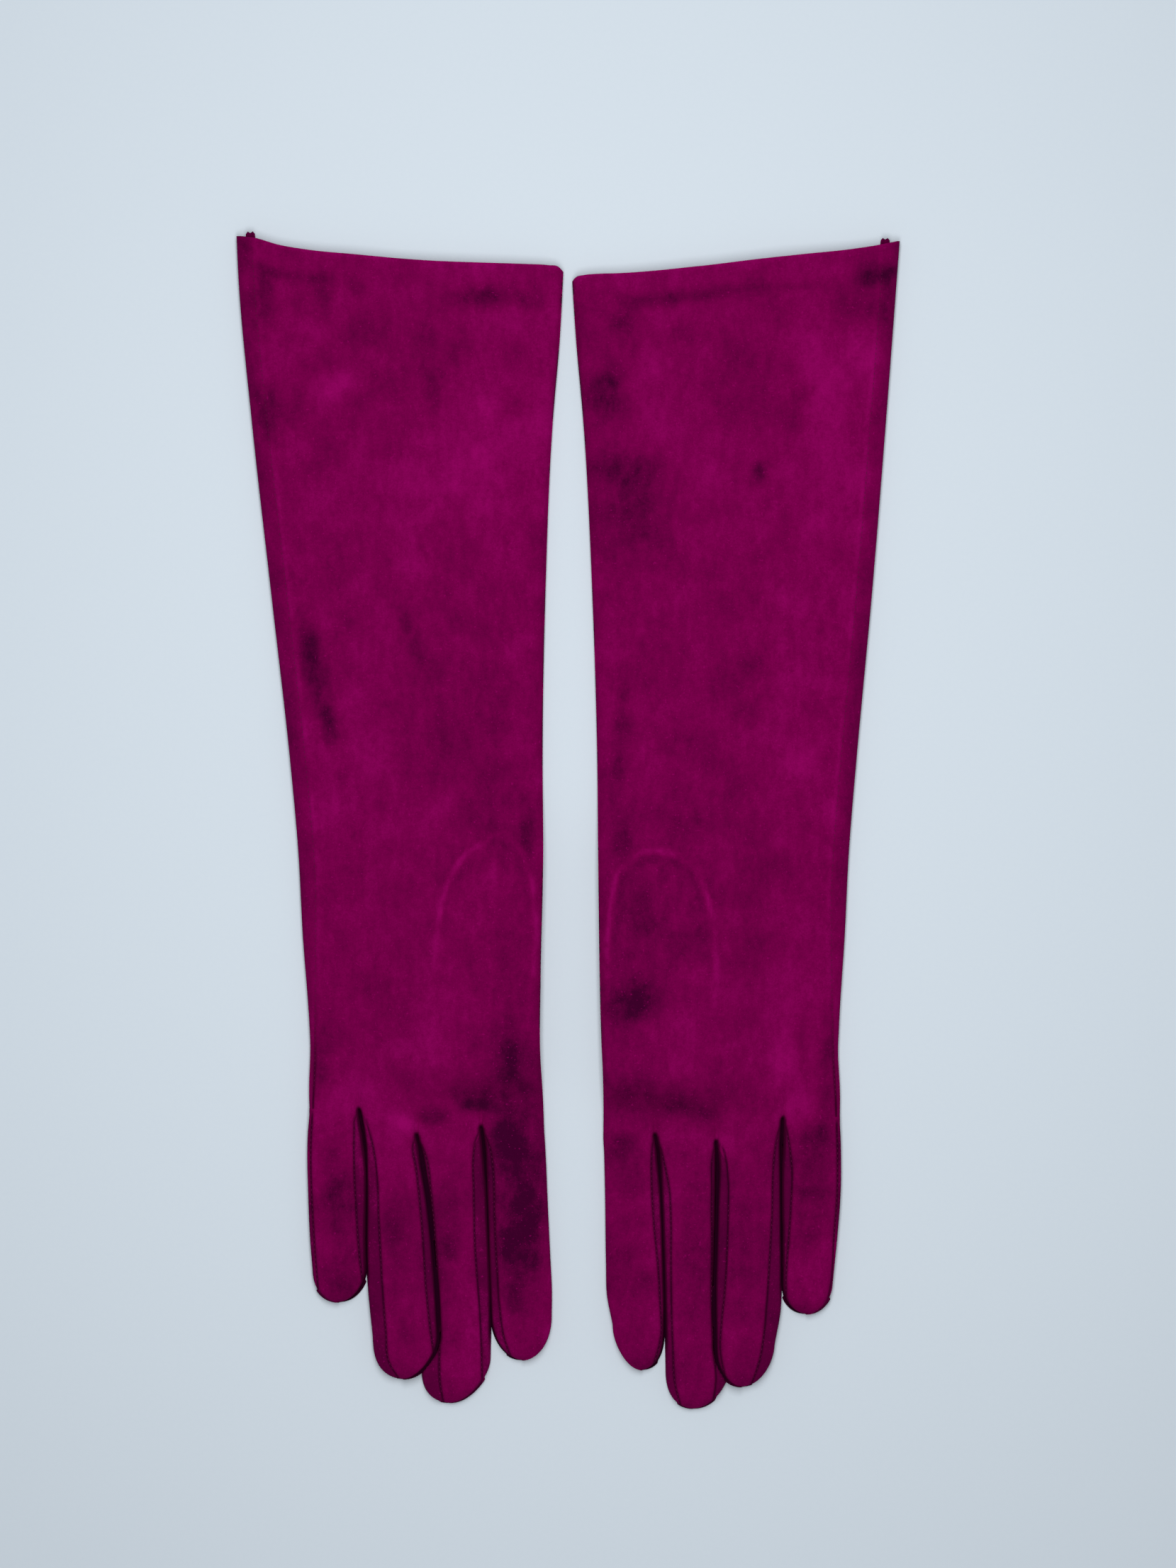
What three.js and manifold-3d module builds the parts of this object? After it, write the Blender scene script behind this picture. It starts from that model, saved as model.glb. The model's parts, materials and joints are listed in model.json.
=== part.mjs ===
// A pair of elbow-length suede opera gloves, laid flat side by side with their backs up.
// Millimetres, +Z up. The pair stands on Z = 0 with its origin under the middle of its box:
// the cuffs point to +Y, the fingertips to -Y, and the right-hand glove lies at -X.
//
// Both gloves are drawn in the same glove frame and the left-hand one is mirrored:
// X runs across the hand to the index finger, Y runs up the arm, and the origin lies on the
// table under the middle of the knuckle line. Each hand, finger and thumb is a nested group
// whose own X axis is its bending axis.
import * as THREE from 'three';
import Module from 'manifold-3d';
import { mergeVertices } from 'three/addons/utils/BufferGeometryUtils.js';

const wasm = await Module();
wasm.setup();

// ---------- Driving dimensions: leather ----------
const LEATHER = 0.8; // thickness of the suede
const GAP = 0.3; // clearance between neighbouring pieces

// ---------- Driving dimensions: hand and sleeve ----------
const KNUCKLE_WIDTH = 79.5; // across the flat glove at the knuckles
const CUFF_WIDTH = 111; // across the flat glove at its mouth
const FLARE_CURVE = 0.6; // share of the flare that comes late, near the elbow
const TUBE_HEIGHT = 8.4; // thickness of the glove as it lies
const CUFF_REACH = 297; // knuckle line to the middle of the cuff
const CUFF_SLANT = 14.5; // the cuff's outer corner stands this much higher
const CUFF_SAG = 2; // depth of the cuff's hollow curve
const ARM_BOW = 1.2; // the sleeve bows outwards this much
const HEM_DEPTH = 11; // leather turned in at the cuff
const WRIST = 118; // knuckle line to the wrist's bending axis

// ---------- Driving dimensions: fingers, from the little finger to the index finger ----------
const FINGERS = [
  { name: 'little', length: 62.5, knuckle: 4.5, tip: 10 },
  { name: 'ring', length: 88, knuckle: -0.5, tip: 15 },
  { name: 'middle', length: 96, knuckle: -3.7, tip: 15 },
  { name: 'index', length: 82.2, knuckle: -1.5, tip: 15 },
];
const FINGER_TAPER = 0.9; // each side of a finger draws in this much towards the tip
const TIP_WIDTH = 3.2; // what is left of the width at the very tip
const TIP_HEIGHT = 2.6;
const FOURCHETTE_HALF = 32; // half of a side strip's share of the finger's section, degrees

// ---------- Driving dimensions: thumb, folded flat under the palm ----------
const THUMB_WIDTH = 35; // at its root
const THUMB_TIP_WIDTH = 23; // where its round tip starts
const THUMB_HEIGHT = 6;
const THUMB_TIP = 7; // the tip's distance above the knuckle line
const THUMB_ROUND = 18; // length of the round tip
const THUMB_PIVOT = 72; // knuckle line to the thumb's bending axis
const THUMB_ARCH = 24; // the thumb's sewn-in root reaches this far above its pivot
const THUMB_EDGE = 0.75; // the thumb stays this far inside the hand's edge
const HOLE_WIDTH = 26; // the thumb hole in the palm
const HOLE_LENGTH = 46;

// ---------- Driving dimensions: bending, degrees ----------
const FINGER_BEND = { palm: 80, back: 25 };
const WRIST_BEND = { palm: 70, back: 60 };
const THUMB_BEND = 55;

// ---------- Driving dimensions: how each glove lies ----------
// down: how much further down the table it lies; lean: degrees that its cuff leans outwards
// crotches: finger gaps as shares of the half width; splay: degrees towards the index side
const CUFFS_APART = 2.7; // between the inner corners of the two cuffs
const GLOVES = [
  {
    side: 'right',
    mirrored: false,
    down: 0,
    lean: 1.71,
    crotches: [-0.576, -0.088, 0.468],
    splay: [0.3, 1.6, 1.1, 0.7],
  },
  {
    side: 'left',
    mirrored: true,
    down: 3.6,
    lean: 0.89,
    crotches: [-0.531, 0.043, 0.561],
    splay: [0.9, 0.4, -0.8, -1.6],
  },
];

// ---------- Material ----------
const suede = (name, color) => new THREE.MeshStandardMaterial({ name, color, roughness: 0.95, metalness: 0 });
const SUEDE = {
  back: suede('suede_back', 0x86005a),
  palm: suede('suede_palm', 0x76004e),
  side: suede('suede_side', 0x5c003c),
  hem: suede('suede_hem', 0x9a1a6c),
  thumb: suede('suede_thumb', 0x7e0054),
};

// ---------- Small helpers ----------
const { lerp, degToRad, clamp, smoothstep } = THREE.MathUtils;
const tanHalf = (degrees) => Math.tan(degToRad(degrees) / 2);

// Section of a tube that lies flat: a slab with round sides, truly flat over its middle.
const SQUARE_TUBE = 4; // a wide hand or sleeve
const SQUARE_FINGER = 3; // a narrow finger or thumb
const FLATTEN = 1.04;

function slab(angle, halfWidth, halfHeight, squareness) {
  const reach = (v) => Math.sign(v) * Math.abs(v) ** (2 / squareness);
  return {
    x: halfWidth * reach(Math.cos(angle)),
    z: halfHeight * clamp(FLATTEN * reach(Math.sin(angle)), -1, 1),
  };
}

// The angle at which a slab's section is this share of its half width from the middle.
const angleAt = (share, squareness) =>
  Math.acos(Math.sign(share) * Math.abs(share) ** (squareness / 2));

// The angle at which the inner face of a slab's side stands one gap above its mid-height.
function seamAngle(halfHeight, squareness) {
  return Math.asin((GAP / (FLATTEN * (halfHeight - LEATHER))) ** (squareness / 2));
}

const steps = (from, to, count) =>
  Array.from({ length: count + 1 }, (_, i) => lerp(from, to, i / count));

// One piece of leather. `point(angle, row, inset)` gives its outer face at inset 0 and its
// inner face at inset LEATHER; the rims between the two faces close the solid.
function sheet(angles, rows, point, closed = false) {
  const columns = angles.length;
  const positions = [];
  for (const inset of [0, LEATHER]) {
    for (let row = 0; row < rows; row++) {
      for (const angle of angles) positions.push(...point(angle, row, inset).toArray());
    }
  }
  const index = [];
  const quad = (a, b, c, d) => index.push(a, b, c, a, c, d);
  const outer = (i, row) => row * columns + (i % columns);
  const inner = (i, row) => rows * columns + outer(i, row);
  const across = closed ? columns : columns - 1;
  for (let row = 0; row < rows - 1; row++) {
    for (let i = 0; i < across; i++) {
      quad(outer(i, row), outer(i + 1, row), outer(i + 1, row + 1), outer(i, row + 1));
      quad(inner(i, row), inner(i, row + 1), inner(i + 1, row + 1), inner(i + 1, row));
    }
    if (!closed) {
      quad(outer(0, row), outer(0, row + 1), inner(0, row + 1), inner(0, row));
      quad(outer(across, row + 1), outer(across, row), inner(across, row), inner(across, row + 1));
    }
  }
  for (let i = 0; i < across; i++) {
    const last = rows - 1;
    quad(outer(i + 1, 0), outer(i, 0), inner(i, 0), inner(i + 1, 0));
    quad(outer(i, last), outer(i + 1, last), inner(i + 1, last), inner(i, last));
  }
  const geometry = new THREE.BufferGeometry();
  geometry.setAttribute('position', new THREE.Float32BufferAttribute(positions, 3));
  geometry.setIndex(index);
  return facingOut(geometry);
}

// Turns every triangle over when the solid's volume comes out negative.
function facingOut(geometry) {
  const position = geometry.getAttribute('position');
  const index = geometry.getIndex();
  const [a, b, c] = [new THREE.Vector3(), new THREE.Vector3(), new THREE.Vector3()];
  let volume = 0;
  for (let i = 0; i < index.count; i += 3) {
    a.fromBufferAttribute(position, index.getX(i));
    b.fromBufferAttribute(position, index.getX(i + 1));
    c.fromBufferAttribute(position, index.getX(i + 2));
    volume += a.dot(b.cross(c));
  }
  if (volume < 0) index.array.reverse();
  return geometry;
}

function toSolid(geometry) {
  const bare = geometry.clone();
  bare.deleteAttribute('normal');
  bare.deleteAttribute('uv');
  const merged = mergeVertices(bare);
  const mesh = new wasm.Mesh({
    numProp: 3,
    vertProperties: merged.getAttribute('position').array,
    triVerts: new Uint32Array(merged.getIndex().array),
  });
  return new wasm.Manifold(mesh);
}

function subtract(geometry, cutter) {
  const { vertProperties, triVerts } = toSolid(geometry).subtract(toSolid(cutter)).getMesh();
  const result = new THREE.BufferGeometry();
  result.setAttribute('position', new THREE.BufferAttribute(vertProperties, 3));
  result.setIndex(new THREE.BufferAttribute(triVerts, 1));
  return result;
}

// ---------- Hand and sleeve: one flat tube ----------
const halfKnuckle = KNUCKLE_WIDTH / 2;
const halfHeight = TUBE_HEIGHT / 2;
const palmLift = THUMB_HEIGHT + GAP; // the folded thumb holds the palm up by this much
const thumbMiddle = halfKnuckle - THUMB_EDGE - THUMB_WIDTH / 2;

function halfWidthAt(y) {
  const up = Math.max(y, 0) / CUFF_REACH;
  const flare = lerp(up, up * up, FLARE_CURVE);
  return lerp(halfKnuckle, CUFF_WIDTH / 2, flare);
}

const bowAt = (y) => -ARM_BOW * Math.sin(Math.PI * clamp(y / CUFF_REACH, 0, 1));

// Height of the palm above the table: full over the thumb, nothing at the little finger's
// edge, the finger roots and the wrist.
const LIFT_FOOT = -26; // the palm touches the table outside this line
const LIFT_START = -1.5; // and distal of this one
const LIFT_RUN = 17.5;

function liftAlong(y) {
  const rise = smoothstep(y, LIFT_START, LIFT_START + LIFT_RUN);
  return palmLift * rise * (1 - smoothstep(y, THUMB_PIVOT, WRIST - halfHeight));
}

function liftAt(x, y) {
  const thumbEdge = thumbMiddle - THUMB_WIDTH / 2;
  return liftAlong(y) * smoothstep(x, LIFT_FOOT, thumbEdge - 2);
}

function tubePoint(angle, y, inset) {
  const section = slab(angle, halfWidthAt(y) - inset, halfHeight - inset, SQUARE_TUBE);
  const x = bowAt(y) + section.x;
  return new THREE.Vector3(x, y, halfHeight + section.z + liftAt(x, y));
}

// Half of the opening at a bend, from `palm` on the underside to `back` on top, so that the
// two edges clear each other over the whole range.
function bendGap(bend, height, share) {
  const palm = (height / 2) * tanHalf(bend.palm) + GAP;
  const back = (height / 2) * tanHalf(bend.back) + GAP;
  return lerp(palm, back, share);
}

// How far up the section an angle lies, from 0 on the palm to 1 on the back.
const heightShare = (angle, squareness) => (slab(angle, 1, 1, squareness).z + 1) / 2;

const wristGap = (angle) => bendGap(WRIST_BEND, TUBE_HEIGHT, heightShare(angle, SQUARE_TUBE));

// The cuff's edge: highest at the outer corner, hollow in between.
function cuffEdge(angle) {
  const across = slab(angle, 1, 1, SQUARE_TUBE).x;
  return CUFF_REACH - (CUFF_SLANT / 2) * across - CUFF_SAG * (1 - across * across);
}

const tubeSeam = seamAngle(halfHeight, SQUARE_TUBE);
const upperSeam = [tubeSeam, Math.PI - tubeSeam];

// The same angles on the palm side.
const below = (angles) => angles.map((angle) => -angle);

const SLEEVE_COLUMNS = 10;
const SLEEVE_ROWS = 7;
const backAngles = steps(...upperSeam, SLEEVE_COLUMNS);

function sleevePiece(angles) {
  const place = (angle, row, inset) => {
    const start = WRIST + wristGap(angle);
    return tubePoint(angle, lerp(start, cuffEdge(angle), row / SLEEVE_ROWS), inset);
  };
  return sheet(angles, SLEEVE_ROWS + 1, place);
}

// The hem lies against the inside of the sleeve, a gap away from it.
function hemPiece(angles) {
  const place = (angle, row, inset) => {
    const y = cuffEdge(angle) - GAP - (1 - row) * HEM_DEPTH;
    return tubePoint(angle, y, LEATHER + GAP + inset);
  };
  return sheet(angles, 2, place);
}

// ---------- Fingers ----------
// Adds each finger's lane between its crotches, its pivot and its length from the pivot.
function fingersOf(glove) {
  const borders = [-1, ...glove.crotches, 1].map((share) => share * halfKnuckle);
  const palmGap = bendGap(FINGER_BEND, TUBE_HEIGHT, 0);
  return FINGERS.map((finger, i) => {
    const pivotY = finger.knuckle - palmGap;
    return {
      ...finger,
      left: borders[i],
      right: borders[i + 1],
      halfWidth: (borders[i + 1] - borders[i]) / 2 - GAP,
      pivot: new THREE.Vector3((borders[i] + borders[i + 1]) / 2, pivotY, halfHeight),
      reach: finger.length + pivotY,
      splay: degToRad(glove.splay[i]),
      towardLittle: i > 0,
      towardIndex: i < FINGERS.length - 1,
    };
  });
}

const fingerGap = (angle, squareness) =>
  bendGap(FINGER_BEND, TUBE_HEIGHT, heightShare(angle, squareness));

// The hand's edge follows the fingers' bending axes, lane by lane.
function knuckleEdge(fingers, angle) {
  const { x } = tubePoint(angle, 0, 0);
  const finger = fingers.find((f) => x < f.right) ?? fingers.at(-1);
  return finger.pivot.y + fingerGap(angle, SQUARE_TUBE) + (x - finger.pivot.x) * Math.tan(finger.splay);
}

// Columns across the hand: its round sides, the middle of each lane and both sides of each
// crotch.
function handAngles(fingers) {
  const shares = fingers.map((f) => (f.left + f.right) / 2 / halfKnuckle);
  for (const finger of fingers.slice(1)) {
    shares.push((finger.left - GAP) / halfKnuckle, (finger.left + GAP) / halfKnuckle);
  }
  const inner = shares.sort((a, b) => b - a).map((share) => angleAt(share, SQUARE_TUBE));
  const corner = [10, 26].map(degToRad);
  return [tubeSeam, ...corner, ...inner, ...corner.map((a) => Math.PI - a).reverse(), Math.PI - tubeSeam];
}

// Rows up the hand, from just above the knuckle edge to the wrist.
const HAND_ROWS = [9, 13, 17, 30, 50, THUMB_PIVOT, 86, 101];

function handPiece(fingers, angles) {
  const place = (angle, row, inset) => {
    const ends = [knuckleEdge(fingers, angle), ...HAND_ROWS, WRIST - wristGap(angle)];
    return tubePoint(angle, ends[row], inset);
  };
  return sheet(angles, HAND_ROWS.length + 2, place);
}

// A finger in its own frame: the pivot is the origin and -Y points to the tip.
const TIP_TURNS = [0, 32, 58, 78, 90].map(degToRad); // stations round the tip

function fingerStations(finger) {
  const shoulder = finger.reach - finger.tip;
  const straight = steps(7, shoulder, 3).slice(0, -1).map((s) => ({ s, share: 1 }));
  const round = TIP_TURNS.map((turn) => ({
    s: shoulder + finger.tip * Math.sin(turn),
    share: Math.cos(turn),
  }));
  return [...straight, ...round];
}

function fingerPoint(finger, angle, s, share, inset) {
  const taper = FINGER_TAPER * (s / finger.reach);
  const halfWidth = lerp(TIP_WIDTH / 2, finger.halfWidth - taper, share);
  const half = lerp(TIP_HEIGHT / 2, halfHeight, Math.sqrt(share));
  const section = slab(angle, halfWidth - inset, half - inset, SQUARE_FINGER);
  return new THREE.Vector3(section.x, -s, half - halfHeight + section.z);
}

function fingerPiece(finger, angles) {
  const stations = fingerStations(finger);
  const place = (angle, row, inset) => {
    const root = { s: fingerGap(angle, SQUARE_FINGER), share: 1 };
    const { s, share } = [root, ...stations][row];
    return fingerPoint(finger, angle, s, share, inset);
  };
  return sheet(angles, stations.length + 1, place);
}

const FINGER_COLUMNS = 5;
const FOURCHETTE_COLUMNS = 2;

function fingerMeshes(side, finger) {
  const plain = seamAngle(halfHeight, SQUARE_FINGER);
  const sewn = degToRad(FOURCHETTE_HALF);
  // Half a gap, as an angle on a section of this finger's size.
  const half = GAP / (finger.halfWidth + halfHeight) / Math.SQRT1_2;
  const first = finger.towardIndex ? sewn + half : plain;
  const last = Math.PI - (finger.towardLittle ? sewn + half : plain);
  const back = steps(first, last, FINGER_COLUMNS);
  const name = `${side}_${finger.name}`;
  const meshes = [
    named(`${name}_back`, fingerPiece(finger, back), SUEDE.back),
    named(`${name}_palm`, fingerPiece(finger, below(back)), SUEDE.palm),
  ];
  const strip = steps(half - sewn, sewn - half, FOURCHETTE_COLUMNS);
  if (finger.towardIndex) {
    meshes.push(named(`${name}_fourchette_inner`, fingerPiece(finger, strip), SUEDE.side));
  }
  if (finger.towardLittle) {
    const turned = strip.map((angle) => angle + Math.PI);
    meshes.push(named(`${name}_fourchette_outer`, fingerPiece(finger, turned), SUEDE.side));
  }
  return meshes;
}

// ---------- Thumb ----------
const THUMB_TILT = 18; // the bending axis leans up towards the index side, degrees
const thumbAxisX = halfKnuckle - THUMB_EDGE - THUMB_HEIGHT / 2;
const thumbShoulder = THUMB_TIP + THUMB_ROUND;

const thumbGap = (angle) => {
  const share = heightShare(angle, SQUARE_FINGER);
  return THUMB_HEIGHT * lerp(tanHalf(THUMB_BEND), tanHalf(THUMB_BEND) / 2, share);
};

function thumbPoint(angle, y, inset) {
  const round = clamp((thumbShoulder - y) / THUMB_ROUND, 0, 1);
  const share = Math.sqrt(1 - round * round);
  const up = clamp((y - thumbShoulder) / (THUMB_PIVOT - thumbShoulder), 0, 1);
  const arch = clamp((y - THUMB_PIVOT) / (THUMB_ARCH + 1), 0, 1);
  const full = lerp(THUMB_TIP_WIDTH, THUMB_WIDTH, smoothstep(up, 0, 1)) * Math.sqrt(1 - arch * arch);
  const halfWidth = lerp(TIP_WIDTH, full, share) / 2;
  const clear = Math.min(THUMB_HEIGHT, liftAlong(y) - GAP);
  const half = Math.min(lerp(TIP_HEIGHT, THUMB_HEIGHT, Math.sqrt(share)), clear) / 2;
  const section = slab(angle, halfWidth - inset, half - inset, SQUARE_FINGER);
  return new THREE.Vector3(thumbMiddle + section.x, y, half + section.z);
}

function thumbHole(low, high) {
  const outline = new THREE.Shape();
  outline.absellipse(0, 0, HOLE_WIDTH / 2, HOLE_LENGTH / 2, 0, 2 * Math.PI);
  const geometry = new THREE.ExtrudeGeometry(outline, {
    depth: high - low,
    bevelEnabled: false,
    curveSegments: 20,
  });
  return geometry.translate(thumbMiddle, THUMB_PIVOT, low);
}

// The thumb's tube, open at its root, with its upper wall cut back to the thumb hole.
function thumbTube() {
  const ring = steps(0, 2 * Math.PI, 14).slice(0, -1);
  const straight = steps(thumbShoulder, THUMB_PIVOT - 6, 3).reverse();
  const round = [28, 52, 72, 84, 90].map((turn) => thumbShoulder - THUMB_ROUND * Math.sin(degToRad(turn)));
  const place = (angle, row, inset) => {
    const ys = [THUMB_PIVOT - thumbGap(angle), ...straight, ...round];
    return thumbPoint(angle, ys[row], inset);
  };
  const tube = sheet(ring, 1 + straight.length + round.length, place, true);
  return subtract(tube, thumbHole(THUMB_HEIGHT / 2, palmLift));
}

// The thumb's root: a scoop sewn under the palm around the upper half of the thumb hole.
const ROOT_CURL = 25; // its walls curl in over the top this far, degrees

function thumbRoot() {
  const curl = degToRad(ROOT_CURL);
  const ring = steps(Math.PI - curl, 2 * Math.PI + curl, 10);
  const rows = 5;
  const place = (angle, row, inset) => {
    const start = THUMB_PIVOT + thumbGap(angle);
    const end = THUMB_PIVOT + THUMB_ARCH - 1;
    return thumbPoint(angle, lerp(start, end, row / rows), inset);
  };
  return sheet(ring, rows + 1, place);
}

// ---------- Assembly ----------
function named(name, geometry, material) {
  const mesh = new THREE.Mesh(geometry, material.clone());
  mesh.name = name;
  return mesh;
}

// A group at a pivot, with its X axis leaning up by `tilt`, for meshes that were drawn in
// the parent's frame.
function pivotGroup(name, pivot, tilt, meshes) {
  const group = new THREE.Group();
  group.name = name;
  group.position.copy(pivot);
  group.rotation.y = -tilt;
  for (const mesh of meshes) {
    mesh.geometry.translate(-pivot.x, -pivot.y, -pivot.z);
    mesh.geometry.rotateY(tilt);
  }
  group.add(...meshes);
  return group;
}

// Where the glove's origin goes, so that the inner corner of its cuff keeps its place.
function placeOf(glove) {
  const lean = degToRad(glove.lean);
  const innerCorner = CUFF_REACH - CUFF_SLANT / 2;
  const x = CUFFS_APART / 2 + (CUFF_WIDTH / 2) * Math.cos(lean) - innerCorner * Math.sin(lean);
  return new THREE.Vector3(glove.mirrored ? x : -x, -glove.down, 0);
}

function gloveGroup(glove) {
  const { side } = glove;
  const fingers = fingersOf(glove);
  const acrossHand = handAngles(fingers);
  const wrist = new THREE.Vector3(0, WRIST, halfHeight);
  const palm = handPiece(fingers, below(acrossHand));
  const hand = pivotGroup(`${side}_wrist`, wrist, 0, [
    named(`${side}_hand_back`, handPiece(fingers, acrossHand), SUEDE.back),
    named(`${side}_hand_palm`, subtract(palm, thumbHole(-GAP, palmLift + halfHeight)), SUEDE.palm),
    named(`${side}_thumb_root`, thumbRoot(), SUEDE.thumb),
  ]);
  for (const finger of fingers) {
    const group = new THREE.Group();
    group.name = `${side}_${finger.name}_knuckle`;
    group.position.copy(finger.pivot).sub(wrist);
    group.rotation.z = finger.splay;
    group.add(...fingerMeshes(side, finger));
    hand.add(group);
  }
  const thumbPivot = new THREE.Vector3(thumbAxisX, THUMB_PIVOT, THUMB_HEIGHT / 2);
  const thumb = pivotGroup(`${side}_thumb_swing`, thumbPivot, degToRad(THUMB_TILT), [
    named(`${side}_thumb`, thumbTube(), SUEDE.thumb),
  ]);
  thumb.position.sub(wrist);
  hand.add(thumb);

  const group = new THREE.Group();
  group.name = `${side}_glove`;
  group.position.copy(placeOf(glove));
  group.rotation.z = degToRad(glove.mirrored ? -glove.lean : glove.lean);
  group.scale.x = glove.mirrored ? -1 : 1;
  group.add(
    named(`${side}_sleeve_back`, sleevePiece(backAngles), SUEDE.back),
    named(`${side}_sleeve_palm`, sleevePiece(below(backAngles)), SUEDE.palm),
    named(`${side}_hem_back`, hemPiece(backAngles), SUEDE.hem),
    named(`${side}_hem_palm`, hemPiece(below(backAngles)), SUEDE.hem),
    hand,
  );
  return group;
}

const pair = new THREE.Group();
pair.name = 'opera_gloves';
pair.add(...GLOVES.map(gloveGroup));

// The origin goes under the middle of the pair.
const box = new THREE.Box3().setFromObject(pair, true);
const middle = box.getCenter(new THREE.Vector3());
pair.position.set(-middle.x, -middle.y, -box.min.z);

export default pair;
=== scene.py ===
"""A pair of elbow-length suede opera gloves, laid flat side by side with their backs up.

Each glove is built from its leather pieces: the body leather, four fingers with their side
strips, the folded thumb and the turned-in hem, with the seams and stitches that join them.
Shapes are drawn in a glove's own frame, in millimetres: X runs across the hand from the little
finger's side to the index finger's side, Y runs up the arm, Z is up, and the origin lies on the
table under the middle of the knuckle line. The left-hand glove is the mirror of the right.
"""
import json
import math
from collections import namedtuple

import bpy
import numpy as np
from bpy.props import FloatProperty, FloatVectorProperty, PointerProperty
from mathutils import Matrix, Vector


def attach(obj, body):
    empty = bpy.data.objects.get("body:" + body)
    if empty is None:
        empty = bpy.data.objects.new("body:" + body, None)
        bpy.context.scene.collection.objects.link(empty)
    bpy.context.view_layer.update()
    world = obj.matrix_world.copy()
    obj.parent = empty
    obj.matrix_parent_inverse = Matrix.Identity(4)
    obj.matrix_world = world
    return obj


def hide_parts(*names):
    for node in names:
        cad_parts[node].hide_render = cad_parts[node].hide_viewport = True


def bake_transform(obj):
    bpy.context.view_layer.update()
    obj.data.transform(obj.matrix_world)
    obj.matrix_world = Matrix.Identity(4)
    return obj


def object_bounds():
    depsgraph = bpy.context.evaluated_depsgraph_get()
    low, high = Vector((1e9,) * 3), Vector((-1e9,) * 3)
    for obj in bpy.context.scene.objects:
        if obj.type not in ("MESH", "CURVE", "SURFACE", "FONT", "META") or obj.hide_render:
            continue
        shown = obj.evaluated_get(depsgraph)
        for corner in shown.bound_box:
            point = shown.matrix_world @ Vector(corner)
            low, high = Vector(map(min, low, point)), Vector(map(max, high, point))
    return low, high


bl_info = {
    "name": "Opera gloves",
    "version": (1, 0, 0),
    "blender": (4, 5, 0),
    "location": "View3D > Sidebar > Opera gloves",
    "description": "Builds a pair of long suede gloves, piece by piece",
    "category": "Object",
}

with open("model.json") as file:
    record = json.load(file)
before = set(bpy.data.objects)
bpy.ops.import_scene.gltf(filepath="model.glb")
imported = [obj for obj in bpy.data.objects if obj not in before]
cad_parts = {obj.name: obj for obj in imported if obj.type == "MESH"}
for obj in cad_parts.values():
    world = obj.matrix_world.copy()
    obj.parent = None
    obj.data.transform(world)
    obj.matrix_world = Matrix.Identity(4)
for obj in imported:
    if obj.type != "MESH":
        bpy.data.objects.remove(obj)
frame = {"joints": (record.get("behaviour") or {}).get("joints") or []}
CAD_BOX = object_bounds()
MM = 0.001


# ---------- Small shape functions ----------
def lerp(a, b, share):
    return a + (b - a) * share


def smooth(t):
    """An even ease from 0 to 1."""
    t = np.clip(t, 0.0, 1.0)
    return t * t * (3 - 2 * t)


def quarter(t):
    """The rise of a quarter circle from 0 to 1, steep at its start."""
    t = np.clip(t, 0.0, 1.0)
    return np.sqrt(t * (2 - t))


def bump(distance, width):
    """A round hill of height 1 that is about `width` across."""
    return np.exp(-((2 * distance / width) ** 2))


def line_through(points):
    """A smooth line through (place, value) points, level past its ends."""
    place, value = np.array(sorted(points), float).T
    slope = np.gradient(value, place)

    def at(v):
        v = np.clip(v, place[0], place[-1])
        i = np.clip(np.searchsorted(place, v, side="right") - 1, 0, len(place) - 2)
        run = place[i + 1] - place[i]
        t = (v - place[i]) / run
        rise = t * t * (3 - 2 * t)
        bend = t * (1 - t) * run
        start, end = bend * (1 - t) * slope[i], bend * t * slope[i + 1]
        return lerp(value[i], value[i + 1], rise) + start - end

    return at


def wander(x, y, size, seed):
    """Smooth unevenness between -1 and 1, with hills about `size` mm apart."""
    u, v = x / size, y / size
    i, j = np.floor(u), np.floor(v)

    def corner(a, b):
        n = np.sin(a * 12.9898 + b * 78.233 + seed * 37.719) * 43758.5453
        return 2 * (n - np.floor(n)) - 1

    near = lerp(corner(i, j), corner(i + 1, j), smooth(u - i))
    far = lerp(corner(i, j + 1), corner(i + 1, j + 1), smooth(u - i))
    return lerp(near, far, smooth(v - j))


def hills(x, y, layers, seed):
    """Unevenness in layers of (size in mm, height, pattern number)."""
    return sum(height * wander(x, y, size, seed + number) for size, height, number in layers)


def crowded(count):
    """Shares from 0 to 1 that crowd together at both ends."""
    return 0.5 - 0.5 * np.cos(np.pi * np.arange(count + 1) / count)


# ---------- How each glove lies ----------
# Edges and seams are (y, x) points and the cuff is (x, y) points. `outer` is towards the little
# finger's side of the glove. A finger's tip is the (x, y) point where its round end closes, and
# `round` is how long that end is. `edge` is how high its two edges lie: the ring finger's inner
# edge lies over the middle finger's outer edge, and `height` is the top of the finger.
Finger = namedtuple("Finger", "outer outer_seam inner_seam inner tip round edge height")
Spot = namedtuple("Spot", "x y across along turn depth")

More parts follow.
